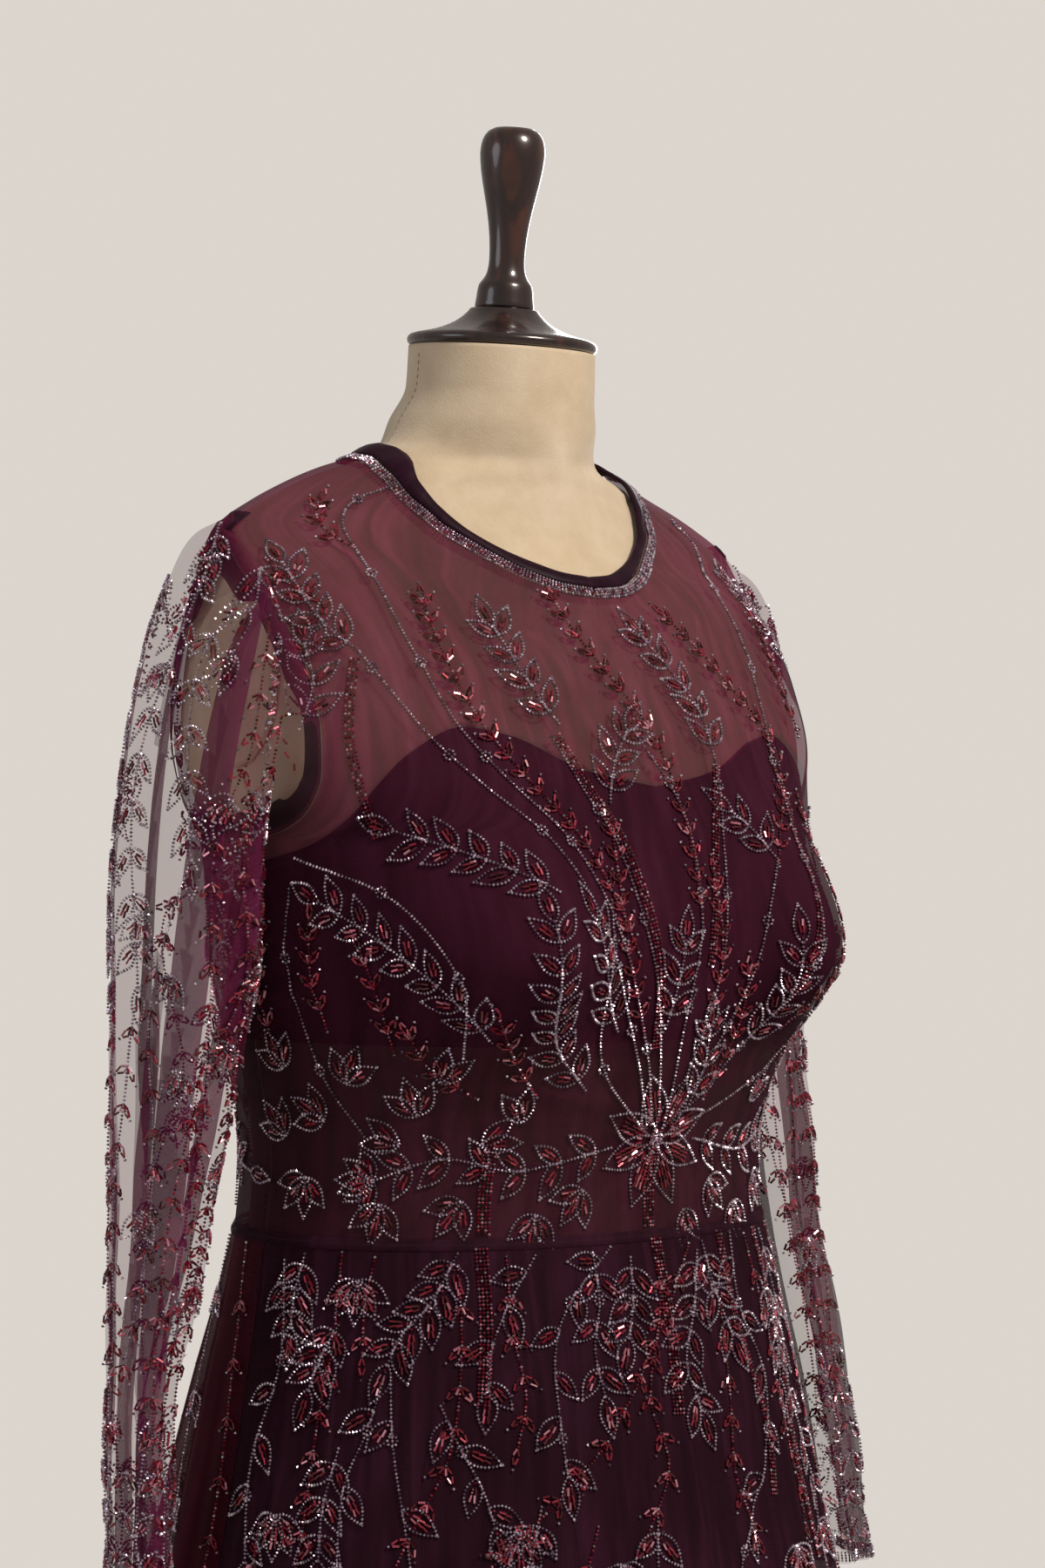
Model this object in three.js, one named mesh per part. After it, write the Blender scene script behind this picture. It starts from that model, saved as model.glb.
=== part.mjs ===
// Evening gown of beaded net with long sheer sleeves, worn by a limbless dress form on a stand.
// Millimetres, +Z up. The front of the gown faces -Y and the wearer's left is towards +X.
// The origin is the centre of the flat underside of the stand's base.

import * as THREE from 'three';

// Driving dimensions
const BASE_RADIUS = 170;
const BASE_THICKNESS = 22;
const POLE_RADIUS = 16;
const FORM_BOTTOM = 790;
const HEM_HEIGHT = 12;
const WAIST_SEAM_HEIGHT = 1040;
const UNDERARM_HEIGHT = 1245;
const SHOULDER_END_HEIGHT = 1413;
const NECK_SIDE_HEIGHT = 1447;
const NECK_TOP_HEIGHT = 1512;
const NECK_TOP_Y = -1;
const NECK_LEAN = THREE.MathUtils.degToRad(5);
const ARMHOLE_FACE_X = 171;
const NET_THICKNESS = 1.0;
const LINING_THICKNESS = 1.2;
const BINDING_THICKNESS = 2.2;
const BINDING_WIDTH = 7;
const SEAM_GAP = 0.3;
const SIDE_ANGLE = 90;
const BACK_ANGLE = 180;

// Cross-sections of the form, lowest first. Each is a rounded oval that is widest at ridge, with
// its depth forward and backward from there.
const FORM_SECTIONS = [
  { height: 790, side: 164, front: 112, back: 128, ridge: 0 },
  { height: 860, side: 168, front: 117, back: 132, ridge: 0 },
  { height: 930, side: 164, front: 115, back: 120, ridge: 0 },
  { height: 1040, side: 148, front: 110, back: 104, ridge: 0 },
  { height: 1080, side: 146, front: 111, back: 102, ridge: 0 },
  { height: 1130, side: 154, front: 123, back: 106, ridge: 0 },
  { height: 1190, side: 166, front: 133, back: 113, ridge: 0 },
  { height: 1240, side: 169, front: 130, back: 118, ridge: 0 },
  { height: 1270, side: 180, front: 123, back: 120, ridge: 0 },
  { height: 1300, side: 188, front: 115, back: 119, ridge: 1 },
  { height: 1330, side: 189, front: 103, back: 116, ridge: 2 },
  { height: 1355, side: 187, front: 91, back: 110, ridge: 4 },
  { height: 1378, side: 182, front: 79, back: 103, ridge: 6 },
  { height: 1394, side: 177, front: 71, back: 97, ridge: 8 },
  { height: 1407, side: 170, front: 67, back: 91, ridge: 10 },
  { height: 1420, side: 152, front: 66, back: 85, ridge: 12 },
  { height: 1431, side: 130, front: 66, back: 78, ridge: 14 },
  { height: 1440, side: 107, front: 67, back: 71, ridge: 16 },
  { height: 1448, side: 82, front: 67, back: 65, ridge: 16 },
  { height: 1458, side: 64, front: 63, back: 57, ridge: 12 },
  { height: 1472, side: 57, front: 58, back: 57, ridge: 7 },
  { height: 1490, side: 51.5, front: 52.5, back: 51, ridge: 1 },
  { height: 1512, side: 51, front: 51, back: 51, ridge: NECK_TOP_Y },
];

// How round those ovals are: 2 is an ellipse and less is more pointed. front is at the centre
// front, tip at the sides, and back all over the back.
const FORM_ROUNDING = [
  { height: 790, front: 2.2, tip: 2.2, back: 2.2 },
  { height: 930, front: 2.2, tip: 2.2, back: 2.2 },
  { height: 1040, front: 2.1, tip: 2.1, back: 2.1 },
  { height: 1240, front: 2.1, tip: 2.1, back: 2.1 },
  { height: 1270, front: 2.2, tip: 2.2, back: 2.2 },
  { height: 1300, front: 2.2, tip: 2.2, back: 2.2 },
  { height: 1330, front: 2, tip: 2.1, back: 2.1 },
  { height: 1355, front: 1.8, tip: 2, back: 2 },
  { height: 1378, front: 1.5, tip: 1.7, back: 1.9 },
  { height: 1394, front: 1.3, tip: 1.3, back: 1.8 },
  { height: 1407, front: 1.28, tip: 1.1, back: 1.7 },
  { height: 1420, front: 1.25, tip: 1, back: 1.6 },
  { height: 1431, front: 1.25, tip: 1.05, back: 1.55 },
  { height: 1440, front: 1.3, tip: 1.2, back: 1.55 },
  { height: 1448, front: 1.35, tip: 1.25, back: 1.6 },
  { height: 1458, front: 1.6, tip: 1.6, back: 1.8 },
  { height: 1472, front: 1.9, tip: 1.9, back: 2 },
  { height: 1490, front: 2, tip: 2, back: 2 },
];

// The bust of the form: two rounded forms that stand out towards the front. The gown is cut
// fuller than the form there by cupEase.
const BUST = {
  x: 100, height: 1186, depth: 40, cupEase: 5.6, halfWidth: 46, reachUp: 62, reachDown: 40,
};

// The gown bridges the hollow between them
const BRIDGE = { height: 1190, depth: 11, halfWidth: 42, reach: 66 };

// Clear distance from the form to the net of the bodice, by height
const BODICE_EASE = [
  { height: 1040, ease: 7 },
  { height: 1080, ease: 6 },
  { height: 1130, ease: 6.2 },
  { height: 1190, ease: 4.6 },
  { height: 1250, ease: 5.5 },
  { height: 1310, ease: 4.2 },
  { height: 1370, ease: 3.8 },
  { height: 1407, ease: 3.6 },
  { height: 1425, ease: 2.6 },
  { height: 1480, ease: 2.2 },
];
const LINING_EASE = 1.2;

// Rows of the front bodice from the waist seam up. The edge runs up the side seam, round the
// armhole and along the shoulder seam; the middle is at the centre front.
const FRONT_ROWS = [
  { edgeAngle: 90, edge: 1040, middle: 1040 },
  { edgeAngle: 90, edge: 1080, middle: 1080 },
  { edgeAngle: 90, edge: 1112, middle: 1112 },
  { edgeAngle: 90, edge: 1136, middle: 1136 },
  { edgeAngle: 90, edge: 1156, middle: 1156 },
  { edgeAngle: 90, edge: 1174, middle: 1174 },
  { edgeAngle: 90, edge: 1192, middle: 1192 },
  { edgeAngle: 90, edge: 1212, middle: 1212 },
  { edgeAngle: 90, edge: 1230, middle: 1230 },
  { edgeAngle: 90, edge: UNDERARM_HEIGHT, middle: 1245 },
  { edgeAngle: 79, edge: 1249, middle: 1254 },
  { edgeAngle: 69, edge: 1259, middle: 1264 },
  { edgeAngle: 62, edge: 1278, middle: 1277 },
  { edgeAngle: 59.5, edge: 1303, middle: 1292 },
  { edgeAngle: 61, edge: 1330, middle: 1308 },
  { edgeAngle: 66, edge: 1357, middle: 1323 },
  { edgeAngle: 76, edge: 1383, middle: 1337 },
  { edgeAngle: 90, edge: SHOULDER_END_HEIGHT, middle: 1348 },
  { edgeAngle: 90, edge: 1425, middle: 1358 },
  { edgeAngle: 90, edge: 1437, middle: 1367 },
  { edgeAngle: 90, edge: NECK_SIDE_HEIGHT, middle: 1375 },
];

// Rows of each back bodice piece; the middle is at the centre back seam
const BACK_ROWS = [
  { edgeAngle: 90, edge: 1040, middle: 1040 },
  { edgeAngle: 90, edge: 1080, middle: 1080 },
  { edgeAngle: 90, edge: 1112, middle: 1112 },
  { edgeAngle: 90, edge: 1136, middle: 1136 },
  { edgeAngle: 90, edge: 1156, middle: 1157 },
  { edgeAngle: 90, edge: 1174, middle: 1177 },
  { edgeAngle: 90, edge: 1192, middle: 1198 },
  { edgeAngle: 90, edge: 1212, middle: 1220 },
  { edgeAngle: 90, edge: 1230, middle: 1241 },
  { edgeAngle: 90, edge: UNDERARM_HEIGHT, middle: 1260 },
  { edgeAngle: 101, edge: 1249, middle: 1278 },
  { edgeAngle: 111, edge: 1259, middle: 1296 },
  { edgeAngle: 118, edge: 1278, middle: 1315 },
  { edgeAngle: 120.5, edge: 1303, middle: 1335 },
  { edgeAngle: 119, edge: 1330, middle: 1355 },
  { edgeAngle: 114, edge: 1357, middle: 1375 },
  { edgeAngle: 104, edge: 1383, middle: 1395 },
  { edgeAngle: 90, edge: SHOULDER_END_HEIGHT, middle: 1414 },
  { edgeAngle: 90, edge: 1425, middle: 1431 },
  { edgeAngle: 90, edge: 1437, middle: 1447 },
  { edgeAngle: 90, edge: NECK_SIDE_HEIGHT, middle: 1461 },
];
const UNDERARM_ROW = 9;
const SHOULDER_END_ROW = 17;

// How a row rises from the centre (across 0) to the edge (across 1): the neckline's round curve
const NECK_CURVE = [
  { across: 0, rise: 0 },
  { across: 0.1, rise: 0.02 },
  { across: 0.2, rise: 0.1 },
  { across: 0.27, rise: 0.2 },
  { across: 0.36, rise: 0.4 },
  { across: 0.47, rise: 0.65 },
  { across: 0.6, rise: 0.85 },
  { across: 0.8, rise: 0.97 },
  { across: 1, rise: 1 },
];

// Top edge of the opaque bust lining, from the centre front round to the centre back
const LINING_TOP = [
  { angle: 0, height: 1272 },
  { angle: 12, height: 1280 },
  { angle: 24, height: 1297 },
  { angle: 32, height: 1301 },
  { angle: 42, height: 1290 },
  { angle: 60, height: 1257 },
  { angle: 74, height: 1240 },
  { angle: 90, height: 1232 },
  { angle: 130, height: 1218 },
  { angle: 180, height: 1208 },
];
const LINING_BOTTOM = 1142;

// Cross-sections of the skirt over its base oval, from the waist seam down
const SKIRT_SECTIONS = [
  { height: 12, side: 405, front: 372, back: 410, folds: 1 },
  { height: 130, side: 366, front: 330, back: 366, folds: 0.92 },
  { height: 260, side: 328, front: 292, back: 326, folds: 0.82 },
  { height: 400, side: 290, front: 255, back: 288, folds: 0.7 },
  { height: 540, side: 256, front: 222, back: 252, folds: 0.55 },
  { height: 680, side: 224, front: 191, back: 218, folds: 0.38 },
  { height: 790, side: 201, front: 169, back: 194, folds: 0.24 },
  { height: 860, side: 187, front: 155, back: 176, folds: 0.14 },
  { height: 915, side: 177, front: 145, back: 161, folds: 0.08 },
  { height: 960, side: 169, front: 137, back: 146, folds: 0.04 },
  { height: 1005, side: 161, front: 127, back: 127, folds: 0.015 },
  { height: 1040, side: 155.8, front: 117.8, back: 111.8, folds: 0 },
];
const SKIRT_POWER = 2.1;

// Hanging folds of the skirt: where each one lies, how wide it is in degrees, and how far it
// stands out at the hem
const SKIRT_FOLDS = [
  { angle: 4, width: 9, out: 24 },
  { angle: 27, width: 7, out: 30 },
  { angle: 50, width: 8, out: 26 },
  { angle: 72, width: 6.5, out: 34 },
  { angle: 97, width: 8, out: 30 },
  { angle: 121, width: 7, out: 36 },
  { angle: 146, width: 8, out: 28 },
  { angle: 169, width: 7, out: 34 },
  { angle: 193, width: 8, out: 30 },
  { angle: 216, width: 7, out: 36 },
  { angle: 238, width: 7.5, out: 28 },
  { angle: 259, width: 6, out: 36 },
  { angle: 281, width: 7, out: 26 },
  { angle: 304, width: 8, out: 32 },
  { angle: 332, width: 7.5, out: 26 },
];
const SKIRT_LINING_INSET = 9;
const SKIRT_LINING_HEM = 30;

// Rings of each limp sleeve from just below the armhole seam to the cuff. x is measured outwards
// from the middle of the body. tilt is 90 where the ring stands upright and 0 where it is level.
const RIGHT_SLEEVE_RINGS = [
  { x: 181, y: 9, height: 1324, across: 83, depth: 58, tilt: 88, fold: 0.4 },
  { x: 189, y: 9, height: 1299, across: 84, depth: 57, tilt: 84, fold: 1.4 },
  { x: 197, y: 8, height: 1260, across: 68, depth: 55, tilt: 73, fold: 2.8 },
  { x: 203, y: 7, height: 1214, across: 52, depth: 53, tilt: 59, fold: 3.6 },
  { x: 207, y: 8, height: 1168, across: 38, depth: 47, tilt: 45, fold: 4 },
  { x: 209, y: 13, height: 1120, across: 28, depth: 39, tilt: 31, fold: 4 },
  { x: 212, y: 16, height: 1072, across: 22, depth: 34, tilt: 20, fold: 4 },
  { x: 218, y: 13, height: 1024, across: 18, depth: 29, tilt: 12, fold: 3.6 },
  { x: 224, y: 13, height: 978, across: 14.5, depth: 24, tilt: 7, fold: 3.2 },
  { x: 228, y: 11, height: 934, across: 12.5, depth: 21, tilt: 3, fold: 2.8 },
  { x: 228, y: 10, height: 894, across: 12.5, depth: 21, tilt: 1, fold: 2.6 },
  { x: 228, y: 10, height: 858, across: 13, depth: 22, tilt: 0, fold: 2.4 },
  { x: 228, y: 10, height: 826, across: 14, depth: 22, tilt: 0, fold: 2.2 },
];
const LEFT_SLEEVE_RINGS = [
  { x: 180, y: 14, height: 1322, across: 81, depth: 46, tilt: 88, fold: 0.4 },
  { x: 186, y: 17, height: 1297, across: 81, depth: 42, tilt: 84, fold: 1.2 },
  { x: 193, y: 18, height: 1258, across: 65, depth: 43, tilt: 75, fold: 2.2 },
  { x: 197, y: 18, height: 1214, across: 49, depth: 44, tilt: 61, fold: 3 },
  { x: 197, y: 20, height: 1168, across: 36.5, depth: 43, tilt: 46, fold: 3.8 },
  { x: 198, y: 20, height: 1120, across: 29, depth: 41, tilt: 31, fold: 4.2 },
  { x: 201, y: 17, height: 1072, across: 26, depth: 39, tilt: 20, fold: 4.4 },
  { x: 206, y: 12, height: 1024, across: 23, depth: 36, tilt: 12, fold: 4.4 },
  { x: 213, y: 6, height: 978, across: 21, depth: 34, tilt: 7, fold: 4.2 },
  { x: 222, y: 1, height: 934, across: 19.5, depth: 32, tilt: 3, fold: 4 },
  { x: 230, y: -1, height: 894, across: 18.5, depth: 30, tilt: 1, fold: 3.8 },
  { x: 236, y: -3, height: 858, across: 18, depth: 28, tilt: 0, fold: 3.6 },
  { x: 240, y: -4, height: 826, across: 18.5, depth: 28, tilt: 0, fold: 3.2 },
];
const SLEEVE_FOLD_COUNT = 5;
const SLEEVE_SEAM_STEP = { shoulder: 0.8, underarm: 1.3 };

// Turned wood of the neck cap and finial: radius and height above the top of the neck
const CAP_PROFILE = [
  { radius: 0, height: 0 },
  { radius: 49, height: 0 },
  { radius: 51.6, height: 1.2 },
  { radius: 52.2, height: 3.4 },
  { radius: 51, height: 5.6 },
  { radius: 46, height: 7.4 },
  { radius: 38, height: 9.4 },
  { radius: 30, height: 12.4 },
  { radius: 24, height: 16 },
  { radius: 19.5, height: 20.4 },
  { radius: 18.6, height: 22 },
  { radius: 0, height: 22 },
];
const FINIAL_PROFILE = [
  { radius: 0, height: 0 },
  { radius: 15.6, height: 0 },
  { radius: 16.2, height: 1.6 },
  { radius: 15.6, height: 6 },
  { radius: 14.8, height: 12.4 },
  { radius: 13.4, height: 14.6 },
  { radius: 10.6, height: 19 },
  { radius: 9.7, height: 27 },
  { radius: 10.3, height: 39 },
  { radius: 12.6, height: 54 },
  { radius: 15.6, height: 68 },
  { radius: 17.5, height: 80 },
  { radius: 17.6, height: 88 },
  { radius: 15.8, height: 93.6 },
  { radius: 11, height: 97.4 },
  { radius: 0, height: 98.4 },
];
const BASE_PROFILE = [
  { radius: 0, height: 0 },
  { radius: BASE_RADIUS - 4, height: 0 },
  { radius: BASE_RADIUS, height: 4 },
  { radius: BASE_RADIUS, height: BASE_THICKNESS - 8 },
  { radius: BASE_RADIUS - 10, height: BASE_THICKNESS },
  { radius: 60, height: BASE_THICKNESS + 8 },
  { radius: 34, height: BASE_THICKNESS + 18 },
  { radius: 27, height: BASE_THICKNESS + 40 },
  { radius: 0, height: BASE_THICKNESS + 40 },
];

// Covered plate that closes each armhole of the form, and the screw in its middle
const PLATE = { across: 38, up: 46, thickness: 4, height: 1328, y: 4 };
const PLATE_SCREW = { radius: 4.5, length: 3.5 };

// Covered button that fastens the neck binding at the centre back
const BUTTON = { radius: 5, thickness: 4, angle: 174, belowNeck: 10, standOff: 1.1 };

const MATERIALS = {
  net: new THREE.MeshStandardMaterial({ color: 0x4a1d33, roughness: 0.75 }),
  lining: new THREE.MeshStandardMaterial({ color: 0x2c0f1f, roughness: 0.6 }),
  binding: new THREE.MeshStandardMaterial({ color: 0x2a0d1e, roughness: 0.55 }),
  formCloth: new THREE.MeshStandardMaterial({ color: 0xcbb497, roughness: 0.95 }),
  darkWood: new THREE.MeshStandardMaterial({ color: 0x24130e, roughness: 0.3 }),
  steel: new THREE.MeshStandardMaterial({ color: 0x3a3836, roughness: 0.4, metalness: 0.8 }),
};

const gown = new THREE.Group();

// A value between the rows of a table, on a smooth curve that never overshoots them
function smoothValue(rows, key, column, at) {
  const last = rows.length - 1;
  const place = THREE.MathUtils.clamp(at, rows[0][key], rows[last][key]);
  let low = 0;
  while (low < last - 1 && place > rows[low + 1][key]) {
    low += 1;
  }
  const width = (i) => rows[i + 1][key] - rows[i][key];
  const slope = (i) => (rows[i + 1][column] - rows[i][column]) / width(i);
  const tangent = (i) => {
    if (i === 0 || i === last) {
      return slope(Math.min(i, last - 1));
    }
    const before = slope(i - 1);
    const after = slope(i);
    return before * after <= 0 ? 0 : (2 * before * after) / (before + after);
  };
  const t = (place - rows[low][key]) / width(low);
  const fromLow = (1 + 2 * t) * (1 - t) ** 2 * rows[low][column];
  const fromHigh = t * t * (3 - 2 * t) * rows[low + 1][column];
  const bendLow = t * (1 - t) ** 2 * width(low) * tangent(low);
  const bendHigh = t * t * (1 - t) * width(low) * tangent(low + 1);
  return fromLow + fromHigh + bendLow - bendHigh;
}

function bell(distance, reach) {
  return Math.exp(-((distance / reach) ** 2));
}

// A point of a rounded oval; angle 0 is the front and 90 is the wearer's left side
function ovalPoint(angle, side, depth, power, tipPower) {
  const turn = THREE.MathUtils.degToRad(angle);
  const sine = Math.sin(turn);
  const cosine = Math.cos(turn);
  return {
    x: side * Math.sign(sine) * Math.abs(sine) ** (2 / power),
    y: -depth * Math.sign(cosine) * Math.abs(cosine) ** (2 / tipPower),
  };
}

// A point of the dress form's skin at an angle round the body and a height
function formPoint(angle, height, bustDepth = BUST.depth) {
  const read = (column) => smoothValue(FORM_SECTIONS, 'height', column, height);
  const rounding = (column) => smoothValue(FORM_ROUNDING, 'height', column, height);
  const frontness = Math.max(0, Math.cos(THREE.MathUtils.degToRad(angle)));
  const point = frontness > 0
    ? ovalPoint(angle, read('side'), read('front'), rounding('front'), rounding('tip'))
    : ovalPoint(angle, read('side'), read('back'), rounding('back'), rounding('back'));
  const reach = height > BUST.height ? BUST.reachUp : BUST.reachDown;
  const bust = bustDepth * bell(Math.abs(point.x) - BUST.x, BUST.halfWidth)
    * bell(height - BUST.height, reach) * (1 - (1 - frontness) ** 4);
  const y = point.y + read('ridge') - bust;
  const x = THREE.MathUtils.clamp(point.x, -ARMHOLE_FACE_X, ARMHOLE_FACE_X);
  const lean = THREE.MathUtils.smoothstep(height, SHOULDER_END_HEIGHT, NECK_TOP_HEIGHT);
  return new THREE.Vector3(x, y, height + y * Math.tan(NECK_LEAN) * lean);
}

// A point that stands off the form's skin by a gap, measured square to the skin
function overForm(angle, height, gap) {
  const step = 0.5;
  const skin = (turn, level) => formPoint(turn, level, BUST.depth + BUST.cupEase);
  const point = skin(angle, height);
  const along = skin(angle + step, height).sub(skin(angle - step, height));
  const up = skin(angle, height + step).sub(skin(angle, height - step));
  const out = along.cross(up).normalize();
  point.addScaledVector(out, gap);
  const bridge = BRIDGE.depth * bell(point.x, BRIDGE.halfWidth)
    * bell(height - BRIDGE.height, BRIDGE.reach);
  if (Math.abs(angle) < SIDE_ANGLE) {
    point.y -= bridge;
  }
  return point;
}

// A closed solid from vertices and faces; the faces are turned to point outwards
function solidGeometry(points, faces) {
  let volume = 0;
  for (const [a, b, c] of faces) {
    volume += points[a].dot(points[b].clone().cross(points[c]));
  }
  const order = volume > 0 ? faces : faces.map(([a, b, c]) => [a, c, b]);
  const geometry = new THREE.BufferGeometry();
  const positions = points.flatMap((point) => point.toArray());
  geometry.setAttribute('position', new THREE.Float32BufferAttribute(positions, 3));
  geometry.setIndex(order.flat());
  return geometry;
}

// A cloth wall between an outer and an inner grid of points, closed along its free edges
function wallGeometry(outer, inner, around) {
  const rows = outer.length;
  const columns = outer[0].length;
  const points = [...outer.flat(), ...inner.flat()];
  const faces = [];
  const outerAt = (row, column) => row * columns + (column % columns);
  const innerAt = (row, column) => rows * columns + outerAt(row, column);
  const quad = (a, b, c, d) => faces.push([a, b, c], [a, c, d]);
  const spans = around ? columns : columns - 1;
  for (let row = 0; row < rows - 1; row += 1) {
    for (let column = 0; column < spans; column += 1) {
      const next = column + 1;
      quad(outerAt(row, column), outerAt(row, next), outerAt(row + 1, next), outerAt(row + 1, column));
      quad(innerAt(row, column), innerAt(row + 1, column), innerAt(row + 1, next), innerAt(row, next));
    }
  }
  for (let column = 0; column < spans; column += 1) {
    const next = column + 1;
    const top = rows - 1;
    quad(outerAt(0, column), innerAt(0, column), innerAt(0, next), outerAt(0, next));
    quad(outerAt(top, column), outerAt(top, next), innerAt(top, next), innerAt(top, column));
  }
  if (!around) {
    const end = columns - 1;
    for (let row = 0; row < rows - 1; row += 1) {
      quad(outerAt(row, 0), outerAt(row + 1, 0), innerAt(row + 1, 0), innerAt(row, 0));
      quad(outerAt(row, end), innerAt(row, end), innerAt(row + 1, end), outerAt(row + 1, end));
    }
  }
  return solidGeometry(points, faces);
}

// A solid body through rings of points, closed flat at both ends
function bodyGeometry(rings) {
  const columns = rings[0].length;
  const centre = (ring) => ring
    .reduce((sum, point) => sum.add(point), new THREE.Vector3()).divideScalar(ring.length);
  const points = [...rings.flat(), centre(rings[0]), centre(rings[rings.length - 1])];
  const bottomCentre = rings.length * columns;
  const topCentre = bottomCentre + 1;
  const faces = [];
  for (let column = 0; column < columns; column += 1) {
    const next = (column + 1) % columns;
    for (let row = 0; row < rings.length - 1; row += 1) {
      const low = row * columns;
      const high = low + columns;
      faces.push([low + column, low + next, high + next], [low + column, high + next, high + column]);
    }
    const top = (rings.length - 1) * columns;
    faces.push([bottomCentre, next, column], [topCentre, top + column, top + next]);
  }
  return solidGeometry(points, faces);
}

// Round turned work from a profile of radii and heights, standing on +Z
function turnedGeometry(profile, segments) {
  const outline = profile.map((row) => new THREE.Vector2(row.radius, row.height));
  const geometry = new THREE.LatheGeometry(outline, segments);
  geometry.rotateX(Math.PI / 2);
  return geometry;
}

function addPiece(name, geometry, material) {
  const mesh = new THREE.Mesh(geometry, material);
  mesh.name = name;
  gown.add(mesh);
  return mesh;
}

// Draws one edge of a grid back along its rows or columns to leave room for a seam
function drawBack(grid, edge, distance) {
  const rows = grid.length;
  const columns = grid[0].length;
  const move = (row, column, nextRow, nextColumn) => {
    const along = grid[nextRow][nextColumn].clone().sub(grid[row][column]).normalize();
    grid[row][column].addScaledVector(along, distance);
  };
  if (edge === 'bottom' || edge === 'top') {
    const row = edge === 'bottom' ? 0 : rows - 1;
    const nextRow = edge === 'bottom' ? 1 : rows - 2;
    for (let column = 0; column < columns; column += 1) {
      move(row, column, nextRow, column);
    }
  } else {
    const column = edge === 'start' ? 0 : columns - 1;
    const nextColumn = edge === 'start' ? 1 : columns - 2;
    for (let row = 0; row < rows; row += 1) {
      move(row, column, row, nextColumn);
    }
  }
}

function mirrored(grid) {
  return grid.map((row) => row.map((point) => new THREE.Vector3(-point.x, point.y, point.z)));
}

function anglesBetween(from, to, count) {
  return Array.from({ length: count + 1 }, (_, i) => from + ((to - from) * i) / count);
}

function bodiceEase(height) {
  return smoothValue(BODICE_EASE, 'height', 'ease', height);
}

// Where each point of a bodice piece lies: its angle round the body and its height
function frontPlaces(columns) {
  return FRONT_ROWS.map((row) => {
    const places = [];
    for (let column = 0; column <= columns; column += 1) {
      const across = (2 * column) / columns - 1;
      const rise = smoothValue(NECK_CURVE, 'across', 'rise', Math.abs(across));
      places.push({
        angle: across * row.edgeAngle,
        height: row.middle + (row.edge - row.middle) * rise,
      });
    }
    return places;
  });
}

function backPlaces(columns) {
  return BACK_ROWS.map((row) => {
    const places = [];
    for (let column = 0; column <= columns; column += 1) {
      const across = 1 - column / columns;
      const rise = smoothValue(NECK_CURVE, 'across', 'rise', across);
      places.push({
        angle: BACK_ANGLE - (BACK_ANGLE - row.edgeAngle) * across,
        height: row.middle + (row.edge - row.middle) * rise,
      });
    }
    return places;
  });
}

function bodiceWall(places) {
  const gridAt = (extra) => places.map((row) => row.map(
    (place) => overForm(place.angle, place.height, bodiceEase(place.height) + extra),
  ));
  const wall = { outer: gridAt(NET_THICKNESS), inner: gridAt(0) };
  for (const grid of [wall.outer, wall.inner]) {
    for (const edge of ['bottom', 'top', 'start', 'end']) {
      drawBack(grid, edge, SEAM_GAP / 2);
    }
  }
  return wall;
}

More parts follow.
